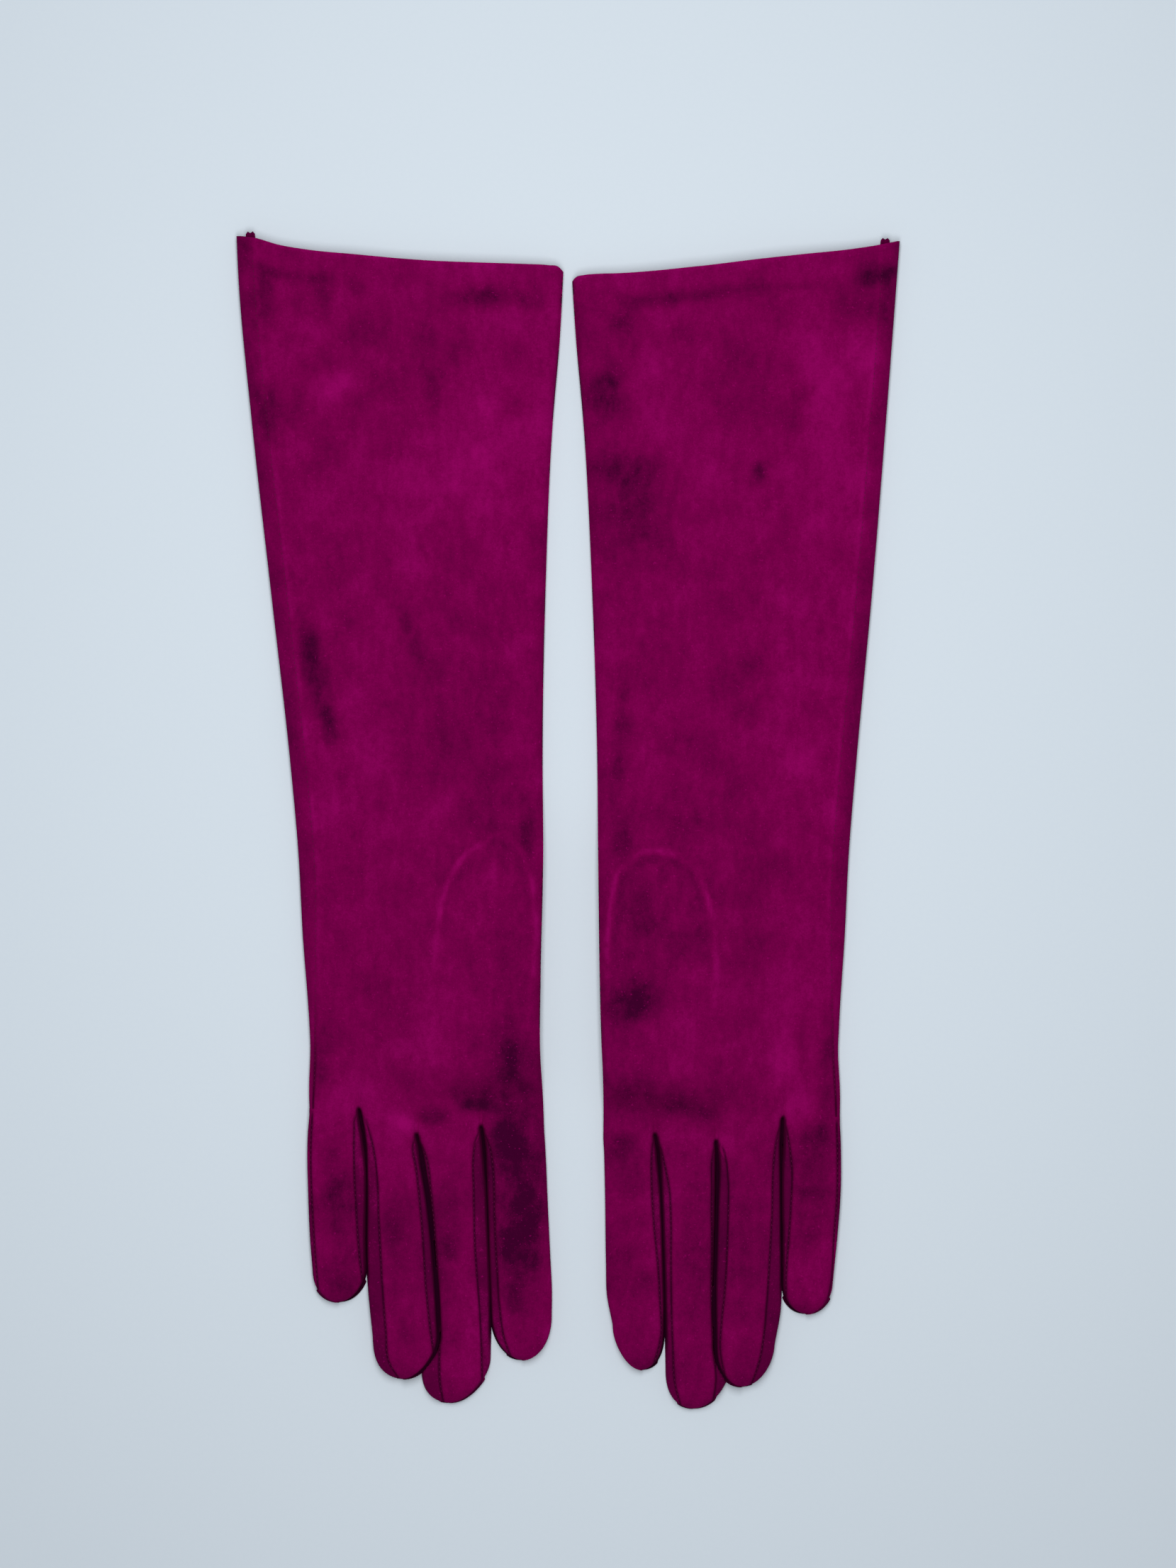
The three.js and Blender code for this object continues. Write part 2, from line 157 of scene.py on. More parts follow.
RIGHT_HAND = {
    "outer": [(-12, -41), (6, -39.7), (20, -38.8), (35, -39), (64, -40.3), (93, -41),
              (123, -42.8), (181, -47.6), (239, -52.4), (290, -55.6), (303, -55.8)],
    "inner": [(-12, 40.2), (4, 39.8), (18, 39.5), (47, 40.5), (91, 42.7), (120, 43.3),
              (178, 46), (236, 50.2), (265, 53.5), (290, 55.6)],
    "cuff": [(-56, 303.4), (-49, 302.2), (-42, 299.9), (-32, 297.8), (-16, 295.7), (8, 292.9),
             (33, 291.2), (43, 290.6), (50.5, 290), (54, 289.3), (55.6, 287.6)],
    "crotches": [(-22.9, 4.1), (-3.5, -5.3), (18.6, -3.2)],
    "fingers": {
        "little": Finger(
            outer=[(5.5, -39.8), (-8, -40.9), (-23, -41.1), (-40, -40.9), (-50, -40.4)],
            outer_seam=[(5.5, -38.5), (-3, -39.3), (-40, -39.4), (-58, -38.6)],
            inner_seam=[(4.1, -23.1), (1.2, -24.3), (-3.7, -24.7), (-32, -24.7), (-45, -24.2),
                        (-56, -23.2)],
            inner=[(4.1, -22.9), (-4, -21.9), (-10, -21.3), (-40, -21.9), (-50, -22.1)],
            tip=(-31.6, -61.6), round=11.6, edge=(3.0, 0.5), height=5.8),
        "ring": Finger(
            outer=[(4.1, -22.9), (-4, -21.7), (-10, -21.1), (-21, -21), (-52, -21.7),
                   (-61, -21.2), (-73.5, -20.3)],
            outer_seam=[(4.1, -22.7), (1.9, -21.2), (-3, -19.6), (-8, -18.4), (-16, -17.4),
                        (-33, -17.1), (-57, -16.5), (-72, -15.8), (-82.7, -14.9), (-88, -12)],
            inner_seam=[(-5.3, -3.7), (-8.4, -4.7), (-16.6, -3.9), (-29, -2.9), (-41, -2.3),
                        (-58, -1.7), (-72.4, -0.6), (-82, 0.5)],
            inner=[(-5.3, -3.5), (-9, -2.6), (-17, -1.4), (-33, 0.3), (-58, 1.8), (-73.5, 2.2)],
            tip=(-10.6, -88.4), round=14.9, edge=(1.5, 4.0), height=6.8),
        "middle": Finger(
            outer=[(-5.3, -3.5), (-10, -2.9), (-17, -2.6), (-30, -2.2), (-60, -2), (-72, -2.8),
                   (-82, -4)],
            outer_seam=[(-5.3, -3.3), (-12, -0.6), (-25, 0.9), (-45, 2), (-60, 2.4), (-78, 2.2),
                        (-90, 2.1), (-97, 3)],
            inner_seam=[(-3.2, 18.4), (-6.6, 16.9), (-13, 15.7), (-25, 15.5), (-42, 15.3),
                        (-66, 16.3), (-79, 16.5), (-89, 16.4)],
            inner=[(-3.2, 18.6), (-7.4, 19.1), (-17, 19.6), (-34, 19.9), (-66, 20),
                   (-82, 19.2)],
            tip=(5.0, -97.2), round=15.3, edge=(0.7, 1.5), height=5.8),
        "index": Finger(
            outer=[(-3.2, 18.6), (-8, 19.2), (-17, 19.6), (-34, 19.8), (-50, 19.8), (-68, 20)],
            outer_seam=[(-3.2, 18.8), (-7, 20.4), (-10.8, 21.6), (-17.4, 22.3), (-34, 22.3),
                        (-50, 22.6), (-66.6, 23.3), (-74.8, 24.3), (-83, 26.8)],
            inner_seam=None,
            inner=[(-2, 40.1), (-14, 40.4), (-30, 40.6), (-47, 40.9), (-61, 41.1), (-68, 40.8)],
            tip=(30.3, -83.3), round=15.4, edge=(0.5, 3.0), height=6.0),
    },
    "print": [(3.7, 30), (3.7, 38.7), (4.6, 53), (7.9, 75), (14.4, 88), (21.5, 93.6),
              (28, 96.9), (35, 91.4), (38.5, 80), (39.5, 67), (39, 52), (36.8, 42.6)],
    "ridge": [(26.6, 91.4), (24, 67.2), (22.8, 43), (21.8, 28.5)],
    "seed": 3,
}

LEFT_HAND = {
    "outer": [(-12, -41.3), (9, -40.4), (24, -39.6), (38, -39.9), (67, -41.3), (96, -42.3),
              (126, -44.3), (184, -48.8), (242, -52.6), (291, -55.6), (304, -56.4)],
    "inner": [(-12, 39.6), (8, 40.5), (22, 40.9), (37, 41.6), (95, 43.4), (124, 44.1),
              (182, 46.7), (240, 50.6), (270, 53.7), (291, 55.4)],
    "cuff": [(-56.6, 304.4), (-49.6, 302.8), (-40, 301.1), (-24, 299.1), (-8, 297.1),
             (12, 294.4), (40, 291.6), (47, 291.3), (51.5, 290.8), (54.2, 290), (55.4, 288.6)],
    "crotches": [(-21.1, 4.3), (1.5, -4.1), (22.4, -2.1)],
    "fingers": {
        "little": Finger(
            outer=[(5.5, -40.6), (-8, -41.2), (-20, -41.3), (-33, -40.6), (-45, -39.6),
                   (-52, -39)],
            outer_seam=[(5.5, -39.3), (-8, -39.9), (-20, -40), (-37, -39.1), (-53, -38.2),
                        (-59, -37)],
            inner_seam=[(4.3, -21.3), (2.8, -21.8), (-4.5, -23.4), (-12.7, -24.4), (-25, -24.3),
                        (-37, -23.7), (-50, -23), (-58, -23.2)],
            inner=[(4.3, -21.1), (-6, -21.1), (-13, -21), (-37, -21.6), (-52, -21.9)],
            tip=(-30.0, -62.5), round=10.7, edge=(3.0, 0.5), height=5.8),
        "ring": Finger(
            outer=[(4.3, -21.1), (-6, -20.8), (-13, -20.8), (-37, -21.3), (-54, -21.5),
                   (-61, -21.2), (-73, -19.3)],
            outer_seam=[(4.3, -20.9), (1, -19.9), (-6.2, -18.5), (-12.8, -18), (-29, -17.8),
                        (-41.5, -17.3), (-58, -16.5), (-70, -15.6), (-78.4, -14.3),
                        (-87, -11.6)],
            inner_seam=[(-4.1, 1.3), (-6, -0.5), (-9.8, -1.8), (-17, -2.7), (-29, -2.9),
                        (-42, -2.7), (-54, -2.2), (-66, -1.2), (-74.5, -0.9), (-87, -3.5)],
            inner=[(-4.1, 1.5), (-9, 1.2), (-17, 1.1), (-38, 1.2), (-54, 1.4), (-73, 0.9)],
            tip=(-8.5, -87.6), round=14.9, edge=(1.5, 4.0), height=6.8),
        "middle": Finger(
            outer=[(-4.1, 1.5), (-9, 1), (-17, 0.2), (-34, -0.8), (-60, -1.6), (-72, -3),
                   (-81, -4.2)],
            outer_seam=[(-4.1, 1.7), (-8, 2.6), (-21, 2.8), (-40, 2.5), (-60, 2.2), (-78, 1),
                        (-85, 0.4), (-95, 1.6)],
            inner_seam=[(-2.1, 22.2), (-5, 20.9), (-11.7, 19.1), (-20, 17.3), (-29.7, 16.6),
                        (-46, 16.3), (-62.5, 15.8), (-75, 15.2), (-87, 14.2), (-95, 12)],
            inner=[(-2.1, 22.4), (-6, 21.5), (-12, 20.8), (-20, 20.1), (-46, 18.7), (-60, 18.1),
                   (-81, 17.3)],
            tip=(7.9, -95.5), round=14.6, edge=(0.7, 1.5), height=5.8),
        "index": Finger(
            outer=[(-2.1, 22.4), (-6, 21.6), (-12, 20.9), (-20, 20.2), (-46, 18.8), (-60, 18.2),
                   (-67, 18.2)],
            outer_seam=[(-2.1, 22.6), (-5, 23.2), (-9.3, 23.5), (-21.6, 23.2), (-34, 22.2),
                        (-46, 20.8), (-58, 19.9), (-70.7, 19.4), (-81, 21.8)],
            inner_seam=None,
            inner=[(-1, 40.1), (-9, 39.7), (-22, 39.2), (-46, 38.5), (-57, 38), (-67, 35.9)],
            tip=(25.5, -82.5), round=15.5, edge=(0.5, 3.0), height=6.0),
    },
    "print": [(39, 44), (39.6, 54), (39.4, 70.9), (37.9, 83.1), (34.4, 90.4), (27.2, 94.9),
              (18.7, 94.3), (12, 91.2), (8.2, 86), (4.3, 72.7), (2.5, 54.5), (3.8, 40),
              (6.5, 25.4), (11.4, 18)],
    "ridge": [(24, 88), (22.5, 70), (22, 50), (20, 32)],
    "seed": 11,
}

# Where the nap is brushed dark (depth above 0) or light (below 0): the middle of each patch, its
# reach across and along it, its turn in degrees and its depth. A few dark patches just above the
# finger roots are painted shade, where the palm slopes up over the thumb's tip.
RIGHT_HAND["nap"] = [
    Spot(-47.2, 282.2, 4, 10, 0, 0.6), Spot(-46.9, 240, 3, 10, 0, 0.45),
    Spot(-26.7, 284.1, 4, 9, 0, 0.45), Spot(-15.8, 285.7, 3, 6, 0, 0.35),
    Spot(1.1, 275.6, 10, 5, 0, 0.2), Spot(28.1, 280.2, 11, 4, 0, 0.65),
    Spot(40.8, 278.3, 8, 3, 0, 0.45), Spot(18.6, 262.3, 4, 9, 0, 0.35),
    Spot(8.6, 248.6, 2.5, 7, 0, 0.4), Spot(-11.2, 247.9, 6, 8, 0, 0.25),
    Spot(-23.1, 234.2, 8, 6, 0, 0.2), Spot(40.7, 232.3, 12, 14, 0, -0.2),
    Spot(-23.9, 248.9, 5, 4, 0, -0.3), Spot(-0.5, 264.2, 14, 6, 0, 0.15),
    Spot(-12.8, 268, 8, 5, 0, 0.3), Spot(10.4, 248.5, 4, 9, 0, 0.4),
    Spot(-23.3, 252, 8, 5, 0, -0.5), Spot(32.5, 278.6, 16, 3.5, -3, 0.1),
    Spot(-5.3, 227.7, 12, 3, 0, 0.25), Spot(-45, 238.9, 3, 14, 5, 0.35),
    Spot(-35.5, 163.5, 4, 10, 6, 0.7), Spot(-32.1, 149.7, 5, 16, 8, 0.85),
    Spot(-28.8, 134.5, 3, 8, 5, 0.5), Spot(-2, 171.3, 2.5, 7, 8, 0.5),
    Spot(1.5, 161.2, 2.5, 8, 10, 0.5), Spot(7.5, 152.2, 2.5, 6, 8, 0.35),
    Spot(37.2, 98.8, 3, 12, 0, 0.5), Spot(21, 226.9, 26, 26, 0, -0.3),
    Spot(28.2, 27.9, 4, 8, 0, 0.35), Spot(32.7, 20.1, 7, 15, 0, 0.5),
    # Painted shade where the palm slopes up over the thumb's tip: the dark patches at (24.1, 8.6),
    # (12.3, 8.4) and (17.5, 4.3).
    Spot(28.1, 15.5, 6, 9, 0, 0.4), Spot(24.1, 8.6, 5, 10, -20, 0.4),
    Spot(12.3, 8.4, 8, 5, -25, 0.55), Spot(17.5, 4.3, 6, 2, -10, 0.4),
    Spot(2.7, 1.5, 5, 3.5, 0, 0.8), Spot(-34.1, 26.8, 4, 12, 0, 0.35),
    Spot(-35.8, 17.5, 3, 5, 0, 0.4), Spot(-6.7, -1.6, 6, 2.5, -30, -0.6),
    Spot(20.3, -0.1, 5, 3, 0, -0.35), Spot(-25.2, 10.1, 9, 8, 0, -0.3),
    Spot(2.3, 24.5, 9, 16, 10, -0.25), Spot(30.8, -26, 11, 30, 0, 1.25),
    Spot(27.7, -8.5, 5, 10, 8, 0.6), Spot(31, -54, 8.5, 15, 0, 0.65),
    Spot(-31.9, -16.7, 6, 11, 0, 0.45), Spot(-30, -33.2, 6, 30, 0, 0.4),
    Spot(-12.5, -37.3, 5, 13, 0, 0.35), Spot(6.4, -34.3, 6, 12, 0, 0.35),
    Spot(7.2, -44.9, 3, 4, 0, 0.4), Spot(4.7, -51.9, 7, 40, 0, 0.15),
    Spot(-9.6, -57.3, 7, 36, 0, 0.1), Spot(31.1, -72.6, 8, 8, 0, 0.3),
    Spot(7.3, -83.7, 6, 6, 0, -0.15), Spot(0, 190, 46, 70, 0, 0.13),
    Spot(-30, 262, 16, 14, 0, -0.2),
]
LEFT_HAND["nap"] = [
    Spot(42.2, 250.4, 8, 12, 0, 0.55), Spot(46.9, 279.1, 9, 10, 0, 0.35),
    Spot(36.8, 273, 5, 8, 0, 0.3), Spot(36, 225, 13, 5, 0, 0.25),
    Spot(37.1, 213, 14, 12, 0, 0.25), Spot(28.9, 203.1, 11, 14, -8, 0.35),
    Spot(41.8, 192.9, 7, 12, 0, 0.2), Spot(-9, 223.7, 3, 4, 0, 0.5),
    Spot(-47.7, 291.4, 6, 5, 0, 0.8), Spot(-38.8, 283.6, 9, 7, 0, 0.5),
    Spot(-49.7, 280.6, 5, 6, 0, 0.5), Spot(-22.1, 252.7, 4.5, 7, 0, 0.5),
    Spot(-21.9, 241.8, 3, 4, 0, 0.3), Spot(-8.9, 239.1, 2, 2, 0, 0.3),
    Spot(-9.8, 223.8, 2, 4, 0, 0.4), Spot(43.6, 250.4, 7, 7, 0, 0.5),
    Spot(37.6, 273.5, 6, 8, 0, 0.25), Spot(35.6, 225, 13, 7, 0, 0.25),
    Spot(-2.1, 269, 6, 4, 0, 0.2), Spot(-21.5, 287.8, 6, 1.3, 0, 0.35),
    Spot(-25, 269.3, 5, 5, 0, -0.2), Spot(-35.9, 261.6, 16, 14, 0, -0.4),
    Spot(-33.2, 231.6, 14, 20, 0, -0.3), Spot(35.5, 142.9, 3, 12, 0, 0.55),
    Spot(37.7, 120.4, 3, 8, 0, 0.4), Spot(35.3, 97.9, 4, 10, 0, 0.4),
    Spot(23.2, 283.2, 14, 3, -6, 0.25), Spot(22.3, 65.6, 12, 10, 0, 0.35),
    Spot(-3.5, 173.6, 24, 30, 0, 0.05), Spot(29.8, 44.2, 12, 8, 0, 0.6),
    Spot(34.5, 38.8, 6, 9, 0, 0.5), Spot(26.9, 40.7, 6, 8, 0, 0.35),
    # Painted shade where the palm slopes up over the thumb's tip: the dark patches at (18.7, 7.7),
    # (23.5, 12.6), (10, 11.4) and (4.6, 5.8).
    Spot(12.7, 39.7, 8, 5, 0, -0.35), Spot(18.7, 7.7, 11, 5, -4, 0.5),
    Spot(23.5, 12.6, 11, 7, 0, 0.45), Spot(10, 11.4, 9, 6, 10, 0.35),
    Spot(4.6, 5.8, 5, 4, 0, 0.3), Spot(33.7, -6.6, 6, 5, 0, 0.65),
    Spot(36.4, 14.7, 6, 14, 0, 0.3), Spot(-26, 5.1, 7, 8, 0, -0.6),
    Spot(-19.8, 25, 5, 14, 0, -0.4), Spot(-35.9, 22.9, 3, 20, 0, 0.5),
    Spot(-29.6, -0.1, 7, 4, 0, 0.45), Spot(-34, -20.6, 7, 2, 0, 0.35),
    Spot(30.6, -21.6, 9, 28, 0, 0.3), Spot(31.8, -54.5, 9, 16, 0, 0.35),
    Spot(10, -23.6, 8, 30, 0, 0.15), Spot(-8.9, -30.4, 7, 30, 0, 0.25),
    Spot(-6, -70.4, 5, 5, 0, -0.35), Spot(-30.5, -20.7, 7, 22, 0, 0.45),
    Spot(0.9, -3.5, 4, 3, 0, -0.4), Spot(0, -50, 60, 52, 0, 0.13),
    Spot(4, 195, 30, 50, 0, -0.12), Spot(20, 66, 20, 26, 0, 0.12),
]

HANDS = {"right": RIGHT_HAND, "left": LEFT_HAND}
FINGER_NAMES = ["little", "ring", "middle", "index"]
WRIST = 118  # knuckle line to the wrist's bending line
WRIST_BEND = 19, -17  # points this far above and this far below that line are worked out; the leather does not bend there
PARED = 0.8  # finger and thumb leather is this share of the body leather's thickness
SEAM_BY_FINGERS, SEAM_UP_ARM = 1.3, 5.4  # the outer seam's distance in from the edge
SEAM_ROOT_Y = 5  # where the outer seam crosses the fingers' root line
SIDE_ROLL = 4  # the palm comes down, and the back's ridges grow, over this distance from a side
CROTCH_EDGE = 0.9  # height where back and palm meet at a crotch
SEAM_START = 0.2  # a side strip is this wide where it starts at the crotch
LAP = 0.3  # neighbouring fingers lap over each other by twice this at the table
LAP_RUN = 6  # the lap grows over this length below the root line
SLIT, HOLE = 0.22, 0.5  # half the width of the dark slit between fingers, and of its crotch hole
RING_SLIT = 0.35  # the ring finger's inner slit is this much wider, over the middle finger
WALL, HOLE_WALL, OUTLINE_WALL = 0.75, 0.95, 0.35  # width of a finger's steep side wall
OVER_WALL = 0.9  # the middle finger's wall beside the ring finger that lies over it
DEEP = 6  # how fast the slit's shade runs out up the walls: a power
PALM_RISE = 3.0, 3.0  # how far in a finger's palm comes down to the table, from each edge
RING_PALM_RISE = 2.0, 9.0  # the same for the ring finger, whose inner edge lies high
FINGER_DROP = 1.5  # how far a finger's rounding brings its back down to the side walls
FINGER_CROWN = 0.4  # how much higher the middle of a finger's back is than its sides
LEAST_HALF = 0.05  # half of a finger's width at its very tip

# Layers of unevenness: how far apart the hills are in mm, how high they are, and their pattern.
BACK_HILLS = (41, 0.34, 0), (17, 0.16, 1), (6.5, 0.07, 2), (2.7, 0.035, 3)
FINGER_HILLS = (15, 0.2, 9), (5.5, 0.09, 8)
PRINT_HILLS = ((8, 0.4, 12),)
NAP_EDGES = (5, 0.3, 5), (1.9, 0.18, 6)
RUB_HILLS = (7, 0.4, 12), (2.5, 0.4, 14)


# ---------- Sizes and colours a user would change ----------
def length(name, description, default, **more):
    return FloatProperty(name=name, description=description, default=default * MM, unit="LENGTH",
                         precision=5, min=0.0, **more)


def colour(name, description, default):
    return FloatVectorProperty(name=name, description=description, default=linear(default),
                               subtype="COLOR", size=4, min=0.0, max=1.0)


def linear(hex_colour):
    """An sRGB hex colour as linear RGBA."""
    def channel(i):
        c = int(hex_colour[i : i + 2], 16) / 255
        return c / 12.92 if c <= 0.04045 else ((c + 0.055) / 1.055) ** 2.4

    return (channel(1), channel(3), channel(5), 1.0)


class GloveSizes(bpy.types.PropertyGroup):
    """The sizes that the glove pieces share."""

    leather: length("Leather", "Thickness of the suede", 0.8)
    tube: length("Tube", "Thickness of the flat sleeve over its edges' roll", 6.0)
    crown: length("Crown", "Extra height along the middle of the sleeve", 1.2)
    roll: length("Edge roll", "How far in the rolled edges reach", 4.6)
    edge: length("Edge height", "Height of the side fold above the table", 3.0)
    finger_roll: length("Finger roll", "How far in a finger's rounding reaches", 4.2)
    thumb: length("Thumb height", "Thickness of the thumb folded under the palm", 4.8)
    hem: length("Hem", "Leather turned in at the cuff", 11.0)
    groove: length("Seam depth", "How deep a seam draws the leather in", 0.45)
    groove_width: length("Seam width", "How wide a seam's groove is", 1.0)
    stitch: length("Stitch", "Length of one stitch", 1.0)
    stitch_pitch: length("Stitch pitch", "From one stitch to the next", 1.7)
    thread: length("Thread", "Diameter of the sewing thread", 0.25)


class GloveColours(bpy.types.PropertyGroup):
    """The colours of the leather, the thread and the floor."""

    suede: colour("Suede", "The suede's own colour", "#6F0043")
    brushed_dark: colour("Brushed dark", "Nap that leans away from the light", "#380026")
    brushed_light: colour("Brushed light", "Nap that leans towards the light", "#8B045A")
    # The side strips' colour is darker than the suede's as painted shade, where they slope down
    # between the fingers.
    side: colour("Side strips", "Suede of the side strips", "#580036")
    inside: colour("Inside", "The turned-in flesh side at the hem", "#7A1052")
    thread: colour("Thread", "Sewing thread", "#5C003A")
    floor: colour("Floor", "The pale table", "#CED8E0")


# ---------- Frames: a glove's own millimetres to the shared frame ----------
def joint(name):
    return next(j for j in frame["joints"] if j["name"] == name)


class Glove:
    """One glove: where it lies, and the height of its leather at any place."""

    def __init__(self, side, sizes):
        self.side = side
        self.mirrored = side == "left"
        self.shape = HANDS[side]
        self.seed = self.shape["seed"]
        wrist = joint(side + "_wrist")
        axis = Vector(wrist["axis"]).normalized()
        self.x_axis = -axis if self.mirrored else axis
        self.y_axis = Vector((0, 0, 1)).cross(axis)
        self.origin = Vector(wrist["pos_m"]) - self.y_axis * WRIST * MM
        self.origin.z = CAD_BOX[0][2]
        self.outer = line_through(self.shape["outer"])
        self.inner = line_through(self.shape["inner"])
        self.cuff = line_through(self.shape["cuff"])
        for name in ("leather", "tube", "crown", "roll", "edge", "thumb", "hem", "groove",
                     "groove_width", "finger_roll", "stitch", "stitch_pitch", "thread"):
            setattr(self, name, getattr(sizes, name) / MM)
        self.fingers = {name: FingerShape(self, name) for name in FINGER_NAMES}

    def place(self, points):
        """Glove millimetres to metres in the shared frame."""
        points = np.asarray(points, float) * MM
        axes = np.array([self.x_axis, self.y_axis, (0, 0, 1)])
        return points @ axes + np.array(self.origin)

    def point(self, x, y, z=4.2):
        return Vector(self.place([(x, y, z)])[0])

    # The line where the fingers start runs from crotch to crotch.
    def root_line(self, x):
        crotches = self.shape["crotches"]
        first, last = crotches[0], crotches[-1]
        xs = [-45, *[c[0] for c in crotches], 45]
        ys = [first[1] + 1.2, *[c[1] for c in crotches], last[1] + 1.4]
        return np.interp(x, xs, ys)

    def seam_inset(self, y):
        """The outer seam wanders in from the edge up the arm."""
        return lerp(SEAM_BY_FINGERS, SEAM_UP_ARM, smooth((y - 12) / 75))

    def from_seam(self, x, y):
        """Distance in from the outer seam."""
        return x - self.outer(y) - self.seam_inset(y)

    def lift(self, x, y):
        """Height of the palm above the table, where the folded thumb holds it up. It rises over
        the thumb's tip, falls past its top, and runs out towards the outer edge."""
        full = self.thumb + 0.35
        along = smooth((y - 4) / 16) * (1 - smooth((y - 84) / 34))
        across = smooth((x + 20) / 27)
        return full * along * across

    def from_line(self, x, y, points):
        """Distance from a smooth line through (x, y) points."""
        count = len(points)
        xs, ys = zip(*points)
        share = np.linspace(0, count - 1, 6 * count)
        line = np.stack([line_through(list(enumerate(v)))(share) for v in (xs, ys)], axis=1)
        distance = np.full(np.broadcast(x, y).shape, np.inf)
        for (x0, y0), (x1, y1) in zip(line[:-1], line[1:]):
            run, rise = x1 - x0, y1 - y0
            t = np.clip(((x - x0) * run + (y - y0) * rise) / (run**2 + rise**2), 0, 1)
            distance = np.minimum(distance, np.hypot(x - x0 - t * run, y - y0 - t * rise))
        return distance

    def thumb_outline(self, x, y):
        """Distance from the outline that the folded thumb prints through the back, positive
        outside it."""
        points = self.shape["print"]
        top = max(range(len(points)), key=lambda i: points[i][1])
        halves = []
        for half in (points[: top + 1], points[top:]):
            half = sorted((py, px) for px, py in half)
            halves.append(np.interp(y, [h[0] for h in half], [h[1] for h in half]))
        inside = (x > np.minimum(*halves)) & (x < np.maximum(*halves)) & (y < points[top][1])
        distance = self.from_line(x, y, points)
        return np.where(inside, -distance, distance)

    def slab_top(self, x, y):
        """The back of the sleeve and hand: flat, with rolled edges and a slight crown."""
        outer, inner = self.outer(y), self.inner(y)
        roll = quarter((x - outer) / self.roll) * quarter((inner - x) / self.roll)
        share = (2 * x - outer - inner) / (inner - outer)
        crown = self.crown * (1 - np.clip(share, -1, 1) ** 2)
        return self.edge + (self.tube - self.edge + crown) * roll

    def slab_bottom(self, x, y):
        """The palm of the sleeve and hand: flat on the table, rising at both sides."""
        roll = quarter((x - self.outer(y)) / SIDE_ROLL) * quarter((self.inner(y) - x) / SIDE_ROLL)
        return self.edge * (1 - roll)

    def relief(self, x, y):
        """Ridges and unevenness of the back, added to its height."""
        seam = self.from_seam(x, y)
        depth = self.groove * lerp(0.9, 0.3, smooth((y - 10) / 60))
        height = 0.2 * bump(seam - 1.0, 1.6) * smooth((y - 20) / 60)
        height -= depth * bump(seam, self.groove_width)
        outline = self.thumb_outline(x, y)
        uneven = 0.8 + hills(x, y, PRINT_HILLS, self.seed)
        height += self.print_fade(y) * uneven * (
            0.38 * bump(outline, 2.4) - 0.4 * smooth((outline + 1) / 3.5)
            + 0.2 * bump(self.from_line(x, y, self.shape["ridge"]), 3.5))
        below_cuff = self.cuff(x) - y
        height += 0.1 * bump(below_cuff - self.hem, 2.2)
        height += 0.15 * smooth((self.hem - below_cuff) / 2)
        return height + hills(x, y, BACK_HILLS, self.seed)

    def print_fade(self, y):
        """How clearly the thumb's outline shows: it fades towards the fingers."""
        return smooth((y - 32) / 34)

    def plain_back(self, x, y):
        """Height of the back where no finger shapes it."""
        calm = quarter(np.minimum(x - self.outer(y), self.inner(y) - x) / SIDE_ROLL)
        return self.slab_top(x, y) + self.lift(x, y) + self.relief(x, y) * calm

    def back(self, x, y, root_x, along):
        """Height of the back; `along` is the distance up from the fingers' root line."""
        back, edge, wall = self.root_section(root_x)
        height = lerp(back, self.plain_back(x, y), smooth(along / ROOT_RUN))
        return lerp(height, edge, (1 - wall) * (1 - np.clip(along / CROTCH_RUN, 0, 1)))

    def plain_palm(self, x, y):
        """Height of the palm where no finger shapes it."""
        return self.slab_bottom(x, y) + self.lift(x, y)

    def palm(self, x, y, root_x, along):
        """Height of the palm; `along` is the distance up from the fingers' root line."""
        near_root = (1 - np.clip(along / PALM_RUN, 0, 1)) ** 1.6
        return lerp(self.plain_palm(x, y), self.root_palm(root_x), near_root)

    def root_section(self, x):
        """The fingers' own sections across their root line."""
        parts = np.zeros((3, *x.shape))
        for finger in self.fingers.values():
            mine = (x >= finger.root[0] - 1e-6) & (x <= finger.root[1] + 1e-6)
            for part, value in zip(parts, finger.section(x, self.root_line(x))):
                part[mine] = value[mine]
        return parts

    def root_palm(self, x):
        """The height of the fingers' palms across their root line."""
        height = np.zeros_like(x)
        for finger in self.fingers.values():
            mine = (x >= finger.root[0] - 1e-6) & (x <= finger.root[1] + 1e-6)
            height = np.where(mine, finger.height_at(x, self.root_line(x), "bottom"), height)
        return height

    def nap(self, x, y):
        """How dark (above 0) or light (below 0) the nap is brushed, with painted shade where the
        palm slopes up over the thumb's tip and on the little finger's strip outside the outer
        seam.
        """
        ragged = 1 + hills(x, y, NAP_EDGES, self.seed)
        total = 0.22 * wander(x, y * 0.6, 26, self.seed + 4)
        total += 0.16 * wander(x, y, 9, self.seed + 7)
        for spot in self.shape["nap"]:
            turn = math.radians(spot.turn)
            dx, dy = x - spot.x, y - spot.y
            across = (dx * math.cos(turn) + dy * math.sin(turn)) / spot.across
            along = (dy * math.cos(turn) - dx * math.sin(turn)) / spot.along
            total = total + spot.depth * np.exp(-((across**2 + along**2) ** 1.4)) * ragged
        return total + self.rubbed_and_painted_shade(x, y)

